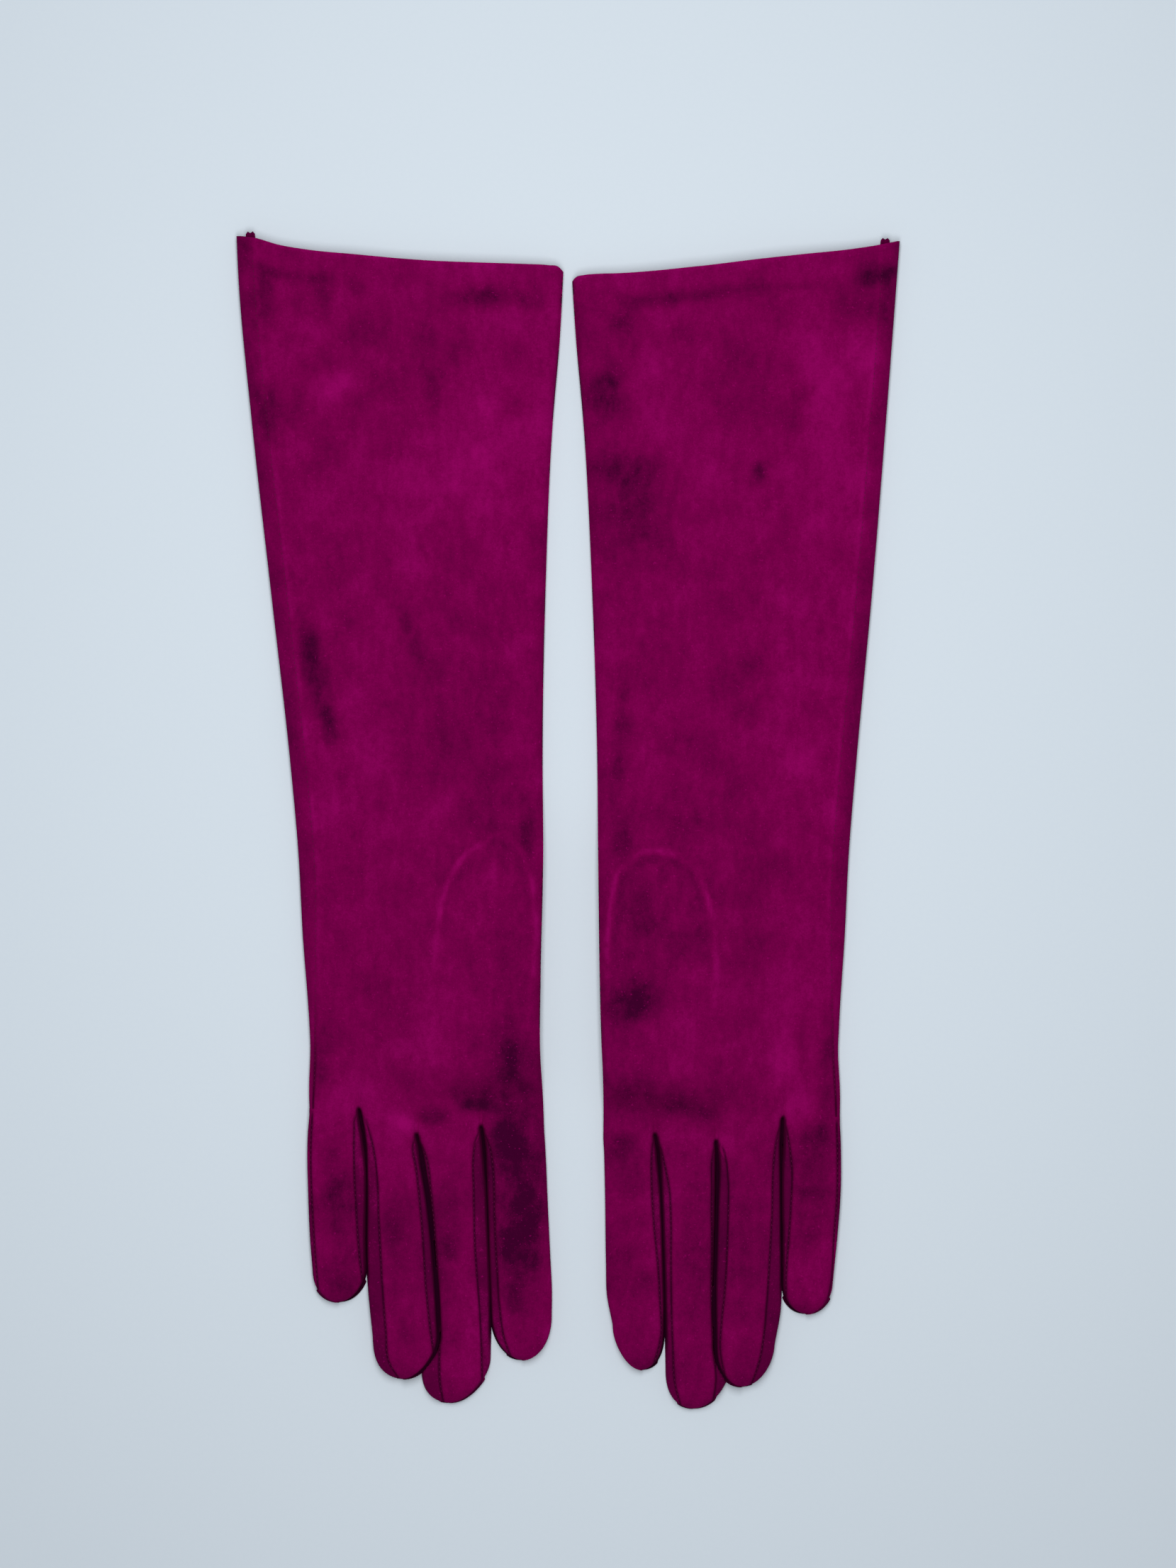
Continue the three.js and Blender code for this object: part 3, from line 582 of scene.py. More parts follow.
    def rubbed_and_painted_shade(self, x, y):
        """Where the nap is rubbed light or crushed dark by an edge underneath: the thumb's
        outline, the outer seam's allowance, the hem and the cuff's edge. Up the arm the strip
        outside the outer seam is darker, and on the little finger that strip is darker as painted
        shade, where it slopes down to the edge."""
        outline = self.thumb_outline(x, y)
        uneven = 0.6 + hills(x, y, RUB_HILLS, self.seed)
        rub = self.print_fade(y) * uneven * (
            0.3 * bump(outline + 2.6, 3.2) - 0.8 * bump(outline, 2.2)
            + 0.12 * bump(outline - 2.6, 3)
            - 0.25 * bump(self.from_line(x, y, self.shape["ridge"]), 3))
        seam = self.from_seam(x, y)
        on_arm, by_finger = smooth((y - 30) / 50), 1 - smooth((y + 2) / 12)
        rub = rub + on_arm * (0.3 * smooth(-seam / 1.5) - 0.4 * uneven * bump(seam - 0.8, 1.8))
        # Painted shade: the little finger's strip outside the outer seam slopes down to the edge
        # and is darkened.
        rub = rub + by_finger * 0.6 * smooth((0.3 - seam) / 0.5)
        below_cuff = self.cuff(x) - y
        patchy = np.clip(wander(x, y, 14, self.seed + 13) + 0.1, 0, 1)
        rub = rub + 0.6 * patchy * bump(below_cuff - self.hem + 1, 4.5)
        return rub - 0.3 * bump(below_cuff, 1.8)

    def seam_mark(self, x, y):
        """1 along the outer seam by the hand, fading up the arm."""
        return bump(self.from_seam(x, y), 0.9) * lerp(0.9, 0.12, smooth((y - 6) / 45))


class FingerShape:
    """One finger as it lies: its edges, its seams and the height of its leather."""

    def __init__(self, glove, name):
        self.glove, self.name = glove, name
        self.data = glove.shape["fingers"][name]
        place = FINGER_NAMES.index(name)
        self.outer_line = line_through(self.data.outer)
        self.inner_line = line_through(self.data.inner)
        self.outer_seam = line_through(self.data.outer_seam)
        self.inner_seam = line_through(self.data.inner_seam) if self.data.inner_seam else None
        crotches = [c[0] for c in glove.shape["crotches"]]
        borders = [float(self.outer_line(5.5)), *crotches, float(self.inner_line(-1))]
        self.root = borders[place], borders[place + 1]
        self.root_y = [float(glove.root_line(x)) for x in self.root]
        self.start = min(self.root_y)
        self.shoulder = self.data.tip[1] + self.data.round

    def at_side(self, which):
        """Whether this edge is the glove's own outline."""
        return (self.name, which) in (("little", 0), ("index", 1))

    def edges(self, y):
        """The finger's two edges, closing round its tip."""
        outer, inner = self.outer_line(y), self.inner_line(y)
        lap = smooth((self.start - y) / LAP_RUN) * LAP
        outer, inner = outer - lap * (not self.at_side(0)), inner + lap * (not self.at_side(1))
        turn = np.clip((self.shoulder - y) / self.data.round, 0, 1)
        half = (inner - outer) / 2 * np.sqrt(np.maximum(1 - turn**2, 0))
        middle = lerp((inner + outer) / 2, self.data.tip[0], smooth(turn))
        half = np.maximum(half, LEAST_HALF)
        return middle - half, middle + half

    def closing(self, y):
        """1 along the finger, falling to 0 at the very tip."""
        turn = np.clip((self.shoulder - y) / self.data.round, 0, 1)
        return np.sqrt(np.maximum(1 - turn**3, 0))

    def lines(self, y):
        """The four lines that its pieces run between. A seam runs straight on towards the tip
        until the edge closes in on it."""
        outer, inner = self.edges(y)
        third = (inner - outer) / 3
        least = np.minimum(SEAM_START, third)
        outer_seam = np.clip(self.outer_seam(y), outer + least, inner - third)
        if self.inner_seam is None:
            inner_seam = inner
        else:
            inner_seam = np.clip(self.inner_seam(y), outer + third, inner - least)
        return {"outer": outer, "outer_seam": outer_seam,
                "inner_seam": inner_seam, "inner": inner}

    def edge_heights(self, y):
        """How high the two edges lie: level at the crotches, then as each finger needs."""
        heights = []
        for which in (0, 1):
            level = self.glove.edge if self.at_side(which) else CROTCH_EDGE
            away = smooth((self.root_y[which] - y) / 12)
            heights.append(lerp(level, self.data.edge[which], away))
        return heights

    def walls(self, y):
        """Where each side's steep wall starts in from the edge, and how wide it is. A slit runs
        before it and is widest just below a crotch. The middle finger's wall starts at the ring
        finger's edge, which lies over it."""
        walls = []
        for which in (0, 1):
            down = self.root_y[which] - y
            hole = smooth((down + 1) / 2) * (1 - smooth((down - 5) / 18))
            width = OUTLINE_WALL if self.at_side(which) else lerp(WALL, HOLE_WALL, hole)
            slit = LAP * smooth((self.start - y) / LAP_RUN) + lerp(SLIT, HOLE, hole)
            if (self.name, which) == ("ring", 1):
                slit = slit + RING_SLIT * smooth((self.start - y - 2) / 8)
            walls.append((slit * self.beside(y, which), width))
        if self.name == "middle":
            ring = self.glove.fingers["ring"]
            over = np.maximum(ring.edges(y)[1] - self.edges(y)[0], 0)
            share = ring.closing(y) ** 2
            (slit, width), inner_wall = walls
            walls = [(np.maximum(slit, over * share + 0.15),
                      lerp(width, OVER_WALL, share * smooth((self.start - y) / 10))), inner_wall]
        return walls

    def section(self, x, y):
        """The finger's back, its edges' height, and how far up its walls a place lies."""
        outer, inner = self.edges(y)
        low, high = self.edge_heights(y)
        share = np.clip((x - outer) / np.maximum(inner - outer, 1e-6), 0, 1)
        edge = lerp(low, high, share)
        (first, first_wall), (last, last_wall) = self.walls(y)
        wall = quarter((x - outer - first) / first_wall) * quarter((inner - x - last) / last_wall)
        roll = self.glove.finger_roll
        sag = 2 - quarter((x - outer - first) / roll) - quarter((inner - x - last) / roll)
        back = self.data.height - FINGER_CROWN * (2 * share - 1) ** 2 - FINGER_DROP * sag
        return lerp(edge, np.maximum(back, edge), self.closing(y)), edge, wall

    def beside(self, y, which):
        """1 where this side lies along another finger, 0 past that finger's tip."""
        if self.at_side(which):
            return 0 * y
        place = FINGER_NAMES.index(self.name) + (1 if which else -1)
        other = self.glove.fingers[FINGER_NAMES[place]]
        return smooth((y - other.data.tip[1] - 3) / 8)

    def sheltered(self, x, y):
        """`beside` of the side that a place is nearer to."""
        outer, inner = self.edges(y)
        return np.where(x < (outer + inner) / 2, self.beside(y, 0), self.beside(y, 1))

    def shade(self, x, y):
        """Painted shade: 1 down in the slits beside other fingers, running out up the walls."""
        return np.clip(1 - self.section(x, y)[2] ** DEEP, 0, 1) * self.sheltered(x, y)

    def height_at(self, x, y, face):
        """Height of the finger's back or palm leather."""
        if face == "top":
            back, edge, wall = self.section(x, y)
            return lerp(edge, back, wall)
        outer, inner = self.edges(y)
        edge = self.section(x, y)[1]
        first, last = RING_PALM_RISE if self.name == "ring" else PALM_RISE
        settle = smooth if self.name == "ring" else quarter
        rise = quarter((x - outer) / first) * settle((inner - x) / last)
        return edge * (1 - rise * self.closing(y))


# ---------- Meshes ----------
# Each leather mesh carries three attributes for its material: "lie", where a point lies in the
# glove's own millimetres, "seam", how dark a seam line makes it and how deep in a slit or crotch
# hole it lies, which darkens it as painted shade, and "nap", how dark or light its nap is brushed,
# with a few patches of painted shade.
GRAIN_SHIFT = 37  # mm between the two gloves' grain for each step of their seeds


def grid_faces(rows, columns, skip=None):
    """Quads of a grid that is `columns` wide, as an array of corner numbers."""
    row, column = np.meshgrid(np.arange(rows - 1), np.arange(columns - 1), indexing="ij")
    a = row * columns + column
    faces = np.stack([a, a + 1, a + columns + 1, a + columns], axis=-1)
    if skip is not None:
        faces = faces[~skip]
    return faces.reshape(-1, 4)


def vertex_normals(points, faces):
    """Each point's outward direction, averaged over the quads round it."""
    corners = points[faces]
    normal = np.cross(corners[:, 2] - corners[:, 0], corners[:, 3] - corners[:, 1])
    total = np.zeros_like(points)
    for corner in range(4):
        np.add.at(total, faces[:, corner], normal)
    size = np.linalg.norm(total, axis=1, keepdims=True)
    return total / np.maximum(size, 1e-12)


def border_edges(faces):
    """Directed edges that only one face uses."""
    edges = np.concatenate([faces[:, [i, (i + 1) % 4]] for i in range(4)])
    keys = {(int(a), int(b)) for a, b in edges}
    return [(a, b) for a, b in keys if (b, a) not in keys]


def leather_piece(name, glove, grid, marks, thickness, flip=False, weld=None, skip=None):
    """One piece of leather: a grid of points for its outer face, its inner face one thickness
    inside, and its cut edges. `weld` joins the last column to the first. The thickness is one
    number or one for each point."""
    rows, columns = grid.shape[:2]
    points = grid.reshape(-1, 3)
    faces = grid_faces(rows, columns, skip)
    if weld:
        last = np.arange(rows) * columns + columns - 1
        change = np.arange(len(points))
        change[last] = last - columns + 1
        faces = change[faces]
    if flip == glove.mirrored:
        faces = faces[:, ::-1]
    used = np.unique(faces)
    number = np.full(len(points), -1)
    number[used] = np.arange(len(used))
    faces, points = number[faces], points[used]
    world = glove.place(points)
    thick = np.broadcast_to(thickness, (rows, columns)).reshape(-1, 1)[used]
    inner = world - vertex_normals(world, faces) * thick * MM
    inner[:, 2] = np.maximum(inner[:, 2], CAD_BOX[0][2])
    count = len(points)
    border = border_edges(faces)
    rims = np.array([(b, a, a + count, b + count) for a, b in border])
    every = np.concatenate([faces, faces[:, ::-1] + count, rims])
    mesh = bpy.data.meshes.new(name)
    mesh.from_pydata(np.concatenate([world, inner]).tolist(), [], every.tolist())
    mesh.shade_smooth()
    sharpen(mesh, border, count)
    set_attribute(mesh, "lie", np.concatenate([points, points]), glove)
    for mark, values in marks.items():
        flat = np.broadcast_to(values, (rows, columns)).reshape(-1)[used]
        set_attribute(mesh, mark, np.concatenate([flat, flat]), glove)
    return add_object(name, mesh)


def sharpen(mesh, border, count):
    """Keeps the cut edges crisp."""
    keys = {(min(a, b), max(a, b)) for a, b in border}
    keys |= {(a + count, b + count) for a, b in keys}
    pairs = np.empty(len(mesh.edges) * 2, int)
    mesh.edges.foreach_get("vertices", pairs)
    sharp = [(int(min(p)), int(max(p))) in keys for p in pairs.reshape(-1, 2)]
    attribute = mesh.attributes.new("sharp_edge", "BOOLEAN", "EDGE")
    attribute.data.foreach_set("value", sharp)


def set_attribute(mesh, name, values, glove):
    """Stores a number or a place for each vertex. Places are shifted by a glove's own amount, so
    that the two gloves have different grain."""
    values = np.asarray(values, np.float32)
    if values.ndim == 2:
        values = values + np.float32(glove.seed * GRAIN_SHIFT)
        attribute = mesh.attributes.new(name, "FLOAT_VECTOR", "POINT")
        attribute.data.foreach_set("vector", values.ravel())
    else:
        attribute = mesh.attributes.new(name, "FLOAT", "POINT")
        attribute.data.foreach_set("value", values.ravel())


def add_object(name, mesh):
    """A mesh object in the scene."""
    piece = bpy.data.objects.new(name, mesh)
    bpy.context.scene.collection.objects.link(piece)
    return piece


# ---------- Materials ----------
# A Mix node's colour inputs and output are found by their numbers, because its names repeat.
COLOUR_A, COLOUR_B, COLOUR_OUT = 6, 7, 2
# Colour of the seam lines, and of the painted shade down in the slits between fingers and in the
# crotch holes.
SEAM_AND_PAINTED_SHADE = "#14000F"
PLY_SHADE = "#4A0030"
STIPPLE_SHADE = "#B9C6D4"
SHEEN_TINT = "#E00090"


def add_node(tree, kind, settings=None, inputs=None, output=0):
    """Adds one node with its settings. Each input is a fixed value or the socket that feeds it.
    Gives back the chosen output socket."""
    node = tree.nodes.new(kind)
    for key, value in (settings or {}).items():
        setattr(node, key, value)
    for key, value in (inputs or {}).items():
        if isinstance(value, bpy.types.NodeSocket):
            tree.links.new(value, node.inputs[key])
        else:
            node.inputs[key].default_value = value
    return node.outputs[output] if node.outputs else None


def new_material(name):
    """The material of this name and, if it is new, its empty node tree."""
    found = bpy.data.materials.get(name)
    if found:
        return found, None
    material = bpy.data.materials.new(name)
    material.use_nodes = True
    material.node_tree.nodes.clear()
    return material, material.node_tree


# Each layer of the nap: how far apart its hills are in mm, how ragged it is, and how much it
# darkens. Fibre grain is 0.2 mm on real suede; it is drawn at 0.55 mm so that it shows.
NAP_LAYERS = {
    "blotch": (13.0, 0.55, 0.2),
    "stroke": (3.2, 0.6, 0.2),
    "tuft": (1.7, 0.6, 0.12),
    "grain": (0.55, 0.7, 0.24),
}
BRUSH_STROKE = 7.0  # mm; the patches of nap break up into strokes about this wide
FIBRE_ENDS = 0.9  # mm; one in a few of these hills is a bright fibre end


def suede(name, base, colours, mottle):
    """Lambskin suede, buffed: matt and deep, with no gloss. Its short nap lies in brushed
    directions, so it shows soft dark and light patches, fine fibre grain, a few bright fibre
    ends, and a faint bloom where it is seen at a slant."""
    material, tree = new_material(name)
    if tree is None:
        return material
    lie = add_node(tree, "ShaderNodeAttribute", {"attribute_name": "lie"}, output="Vector")
    # The nap attribute holds brushed patches and a few patches of painted shade. The seam
    # attribute holds seam lines and the painted shade in the slits and crotch holes.
    dark = add_node(tree, "ShaderNodeAttribute", {"attribute_name": "nap"}, output="Fac")
    seam = add_node(tree, "ShaderNodeAttribute", {"attribute_name": "seam"}, output="Fac")
    # Brushing strokes are twice as long as they are wide and slant across the glove.
    strokes = add_node(tree, "ShaderNodeMapping", None,
                       {"Vector": lie, "Scale": (1.0, 0.45, 1.0), "Rotation": (0, 0, 0.3)})
    ragged = add_node(tree, "ShaderNodeTexNoise", None, {
        "Vector": strokes, "Scale": 1 / BRUSH_STROKE, "Detail": 4.0, "Roughness": 0.65})
    broken = add_node(tree, "ShaderNodeMapRange", None, {
        "Value": ragged, "From Min": 0.36, "From Max": 0.62, "To Min": 0.8, "To Max": 1.15})
    dark = add_node(tree, "ShaderNodeMath", {"operation": "MULTIPLY"}, {0: dark, 1: broken})
    nap = {}
    for layer, (size, roughness, amount) in NAP_LAYERS.items():
        nap[layer] = add_node(tree, "ShaderNodeTexNoise", None, {
            "Vector": strokes if layer == "stroke" else lie,
            "Scale": 1 / size, "Detail": 3.0, "Roughness": roughness})
        share = amount * (mottle if layer == "blotch" else 1)
        shift = add_node(tree, "ShaderNodeMapRange", None, {
            "Value": nap[layer], "From Min": 0.3, "From Max": 0.7,
            "To Min": -share, "To Max": share})
        dark = add_node(tree, "ShaderNodeMath", {"operation": "ADD"}, {0: dark, 1: shift})
    to_dark = add_node(tree, "ShaderNodeMapRange", None, {"Value": dark, "From Max": 1.25})
    to_light = add_node(tree, "ShaderNodeMapRange", None, {"Value": dark, "From Max": -0.9})
    shade = add_node(tree, "ShaderNodeMix", {"data_type": "RGBA"}, {
        "Factor": to_dark, COLOUR_A: base, COLOUR_B: tuple(colours.brushed_dark)}, COLOUR_OUT)
    shade = add_node(tree, "ShaderNodeMix", {"data_type": "RGBA"}, {
        "Factor": to_light, COLOUR_A: shade, COLOUR_B: tuple(colours.brushed_light)}, COLOUR_OUT)
    ends = add_node(tree, "ShaderNodeTexNoise", None, {
        "Vector": lie, "Scale": 1 / FIBRE_ENDS, "Detail": 1.0})
    sparkle = add_node(tree, "ShaderNodeMapRange", None, {
        "Value": ends, "From Min": 0.68, "From Max": 0.76, "To Max": 0.55})
    shade = add_node(tree, "ShaderNodeMix", {"data_type": "RGBA"}, {
        "Factor": sparkle, COLOUR_A: shade, COLOUR_B: tuple(colours.brushed_light)}, COLOUR_OUT)
    # Darkens the seam lines, and paints shade down in the slits between fingers and in the crotch
    # holes.
    seam_and_painted_shade = add_node(tree, "ShaderNodeMath", {"operation": "MULTIPLY"}, {0: seam, 1: 0.95})
    shade = add_node(tree, "ShaderNodeMix", {"data_type": "RGBA"}, {
        "Factor": seam_and_painted_shade, COLOUR_A: shade, COLOUR_B: linear(SEAM_AND_PAINTED_SHADE)}, COLOUR_OUT)
    height = add_node(tree, "ShaderNodeMath", {"operation": "MULTIPLY_ADD"},
                      {0: nap["tuft"], 1: 0.8, 2: nap["grain"]})
    bumped = add_node(tree, "ShaderNodeBump", None,
                      {"Height": height, "Strength": 0.4, "Distance": 0.12 * MM})
    shader = add_node(tree, "ShaderNodeBsdfPrincipled", None, {
        "Base Color": shade, "Normal": bumped, "Roughness": 0.95, "IOR": 1.45,
        "Specular IOR Level": 0.02, "Sheen Weight": 0.1, "Sheen Roughness": 0.6,
        "Sheen Tint": linear(SHEEN_TINT)})
    add_node(tree, "ShaderNodeOutputMaterial", None, {"Surface": shader})
    return material


def sewing_thread(colours):
    """Waxed polyester thread, twisted: slightly glossy, with fine slanting plies."""
    material, tree = new_material("twisted_polyester_thread")
    if tree is None:
        return material
    lie = add_node(tree, "ShaderNodeAttribute", {"attribute_name": "lie"}, output="Vector")
    # The plies slant round the thread about every 0.3 mm.
    plies = add_node(tree, "ShaderNodeTexWave", {"bands_direction": "DIAGONAL"},
                     {"Vector": lie, "Scale": 1.0, "Distortion": 0.5}, "Fac")
    share = add_node(tree, "ShaderNodeMapRange", None, {"Value": plies, "To Max": 0.5})
    shade = add_node(tree, "ShaderNodeMix", {"data_type": "RGBA"}, {
        "Factor": share, COLOUR_A: tuple(colours.thread),
        COLOUR_B: linear(PLY_SHADE)}, COLOUR_OUT)
    shader = add_node(tree, "ShaderNodeBsdfPrincipled", None, {
        "Base Color": shade, "Roughness": 0.6, "IOR": 1.5, "Specular IOR Level": 0.15})
    add_node(tree, "ShaderNodeOutputMaterial", None, {"Surface": shader})
    return material


def painted_board(colours):
    """Matt painted board: even and pale, with a barely visible roller stipple."""
    material, tree = new_material("matt_painted_board")
    if tree is None:
        return material
    place = add_node(tree, "ShaderNodeTexCoord", output="Object")
    # Roller stipple is about 1.5 mm across.
    stipple = add_node(tree, "ShaderNodeTexNoise", None,
                       {"Vector": place, "Scale": 1 / (1.5 * MM), "Detail": 2.0})
    share = add_node(tree, "ShaderNodeMapRange", None, {
        "Value": stipple, "From Min": 0.3, "From Max": 0.7, "To Max": 0.05})
    tone = add_node(tree, "ShaderNodeMix", {"data_type": "RGBA"}, {
        "Factor": share, COLOUR_A: tuple(colours.floor),
        COLOUR_B: linear(STIPPLE_SHADE)}, COLOUR_OUT)
    shader = add_node(tree, "ShaderNodeBsdfPrincipled", None, {
        "Base Color": tone, "Roughness": 0.9, "Specular IOR Level": 0.1})
    add_node(tree, "ShaderNodeOutputMaterial", None, {"Surface": shader})
    return material


def dress(piece, material):
    """Gives a piece its material."""
    piece.data.materials.append(material)


# For each slot: the suede's name, which of the colours it has, and how blotchy it is. The side
# strips' suede is darker as painted shade, where the strips slope down between the fingers.
SUEDES = {
    "suede": ("lambskin_suede_nap", "suede", 1.0),
    "suede_side": ("lambskin_suede_side_strip", "side", 0.6),
    "suede_hem": ("lambskin_flesh_side", "inside", 1.0),
}


def dress_suede(piece, colours, slot):
    name, base, mottle = SUEDES[slot]
    dress(piece, suede(name, tuple(getattr(colours, base)), colours, mottle))


def gloves(context):
    """Both gloves' shapes, with the sizes set in the panel."""
    return [Glove(side, context.scene.glove_sizes) for side in HANDS]


# ---------- Body leather: sleeve, hand and the roots of the fingers ----------
BACK_COLUMNS = 24  # across each finger's back
PALM_COLUMNS = 8  # across each finger's palm
WRAP_COLUMNS = 6  # where the palm leather wraps up to the outer seam
ROOT_RUN = 12  # the fingers' rounding runs out over this length of the hand
CROTCH_RUN = 1.1  # a crotch's hole ends within this length of the hand
PALM_RUN = 5  # the same for the fingers' shape on the palm side
ROOT_FADE = 34  # rows follow the root line's steps less and less over this length
SPREAD_RUN = 26  # columns spread from the fingers' own to even ones over this length
CUFF_RUN = 60  # rows take on the cuff's slant over this length below it
LAST_CROTCH = 30  # no crotch lies further out than this from the middle of the hand
THUMB_HOLE = {"middle": 22, "y": 80, "across": 13, "along": 14}


def root_columns(glove, count):
    """X of the columns on the fingers' root line, from the outer seam to the index side."""
    xs = []
    for finger in glove.fingers.values():
        first, last = finger.root
        start = first + (glove.seam_inset(SEAM_ROOT_Y) if finger.at_side(0) else SEAM_START)
        end = last - (0 if finger.at_side(1) else SEAM_START)
        xs.extend(lerp(start, end, crowded(count)))
    return np.array(xs)


def even_shares(count):
    """Shares across the back that crowd a little at both sides."""
    plain = np.linspace(0, 1, count)
    return lerp(plain, crowded(count - 1), 0.35)


def body_rows(glove):
    """Distances up the glove from the root line to the cuff: close together over the finger
    roots, the thumb and the hem, wider on the sleeve."""
    total = float(np.mean([c[1] for c in glove.shape["cuff"]])) - 4
    near = np.linspace(0, 1, 15) ** 1.25 * 14
    hand = np.arange(15.0, 102, 1.0)
    sleeve = np.arange(104, total - 16, 2.0)
    hem = np.linspace(total - 15, total, 24)
    return np.concatenate([near, hand, sleeve, hem])


def body_face(glove, rows, count, face):
    """X, Y and Z of one face of the body leather, from the outer seam or edge to the index side,
    and how deep each point lies in a crotch's hole, which is painted as shade."""
    root_x = root_columns(glove, count)
    if face == "bottom":
        root_x[0] = glove.fingers["little"].root[0]
        root_x[1 : count + 1] = lerp(root_x[0], root_x[count], crowded(count)[1:])
    root_y = glove.root_line(root_x)
    top = root_y.max()
    root_x, along = np.broadcast_arrays(root_x, rows[:, None])
    level = top + along + (root_y - top) * (1 - smooth(along / ROOT_FADE))
    share = even_shares(root_x.shape[1])
    slant = smooth((along - rows[-1] + CUFF_RUN) / CUFF_RUN)
    y = level
    for _ in range(2):
        start = glove.outer(y) + (glove.seam_inset(y) if face == "top" else 0)
        from_mean = glove.cuff(lerp(start, glove.inner(y), share)) - top - rows[-1]
        y = level + from_mean * slant
    x = lerp(root_x, lerp(start, glove.inner(y), share), smooth(along / SPREAD_RUN))
    height = glove.back if face == "top" else glove.palm
    # Painted shade: the leather darkens down into each crotch's hole.
    hole = 1 - glove.root_section(root_x)[2] ** DEEP
    hole = hole * (1 - np.clip(along / CROTCH_RUN, 0, 1)) * (np.abs(root_x) < LAST_CROTCH)
    return x, y, height(x, y, root_x, along), hole


def body_wrap(glove, back, palm):
    """The palm leather between the outer edge and the outer seam on the back."""
    share = (np.arange(1, WRAP_COLUMNS) / WRAP_COLUMNS) ** 2
    x, y = [lerp(palm[i][:, :1], back[i][:, :1], share) for i in (0, 1)]
    return x, y, glove.plain_back(x, y), np.zeros(x.shape)


def bend_at_wrist(piece, glove):
    first, last = WRIST_BEND
    glove.point(0, WRIST + first)
    glove.point(0, WRIST + last)
    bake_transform(piece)


def body_leather(glove):
    """The body leather in one tube: round its section from the outer seam over the back, the
    index side and the palm, and up round the outer edge to the seam again."""
    rows = body_rows(glove)
    back = body_face(glove, rows, BACK_COLUMNS, "top")
    palm = body_face(glove, rows, PALM_COLUMNS, "bottom")
    wrap = body_wrap(glove, back, palm)
    layers = [np.concatenate([back[i], palm[i][:, ::-1], wrap[i], back[i][:, :1]], axis=1)
              for i in range(4)]
    grid = np.stack(layers[:3], axis=-1)
    x, y = layers[0], layers[1]
    on_back = np.zeros(x.shape)
    on_back[:, : back[0].shape[1]] = 1
    on_back[:, -1] = 1
    hole = whole_quads(in_thumb_hole(x, y) & (on_back < 0.5))
    # The seam mark takes the outer seam's line and the painted shade of the crotch holes.
    seam = np.maximum(glove.seam_mark(x, y) * on_back, layers[3])
    marks = {"seam": seam, "nap": glove.nap(x, y)}
    name = glove.side + "_body_leather"
    piece = leather_piece(name, glove, grid, marks, glove.leather,
                          flip=True, weld=True, skip=hole)
    bend_at_wrist(piece, glove)
    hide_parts(*[f"{glove.side}_{part}" for part in
                         ("sleeve_back", "sleeve_palm", "hand_back", "hand_palm")])
    return piece


def in_thumb_hole(x, y):
    """Whether a place is in the oval hole that the thumb is sewn to."""
    hole = THUMB_HOLE
    across, along = (x - hole["middle"]) / hole["across"], (y - hole["y"]) / hole["along"]
    return across**2 + along**2 < 1


def whole_quads(inside):
    """The quads of a grid that have all four corners inside."""
    return inside[:-1, :-1] & inside[1:, :-1] & inside[:-1, 1:] & inside[1:, 1:]


# ---------- Fingers ----------
STRIP_COLUMNS = 14  # across each face of a side strip
ROOT_EASE = 7  # a finger's columns take on its own lines over this length from its root
TIP_ROWS = 20  # rows round a finger's tip
FINGER_BEND = -0.3, -21  # points at these distances from a finger's root are worked out; the leather does not bend there
SEAM_RUN = 6  # a seam's groove grows over this length from its root
PALM_GROOVE = 0.6  # a seam's groove is this share as deep on the palm side
LEAST_HEIGHT = 0.05  # the leather lies no lower than this


def finger_rows(finger):
    """Distances down a finger from its root line: even, then crowding round the tip."""
    straight = finger.start - finger.shoulder
    near = np.linspace(0, 1, 9) ** 1.2 * ROOT_EASE
    plain = np.arange(ROOT_EASE + 1.2, straight - 0.6, 1.35)
    turn = np.radians(np.linspace(0, 89.6, TIP_ROWS))
    return np.concatenate([near, plain, straight + finger.data.round * np.sin(turn)])


def finger_run(finger, rows, first, last, shares, face):
    """Points between two of a finger's lines, on its top or its underside."""
    glove = finger.glove
    starts = {"outer": finger.root[0], "inner": finger.root[1]}
    insets = {"outer_seam": SEAM_START, "inner_seam": -SEAM_START}
    if finger.at_side(0):
        insets["outer_seam"] = float(glove.seam_inset(SEAM_ROOT_Y))
    if finger.at_side(1):
        insets["inner_seam"] = 0

    def root_x(line):
        return starts[line.split("_")[0]] + insets.get(line, 0)

    x0 = lerp(root_x(first), root_x(last), shares)
    along = rows[:, None]
    y = finger.start - along + (glove.root_line(x0) - finger.start) * (1 - smooth(along / 16))
    lines = finger.lines(y)
    x = lerp(x0, lerp(lines[first], lines[last], shares), smooth(along / ROOT_EASE))
    z = finger.height_at(x, y, face)
    return x, y, z, lines


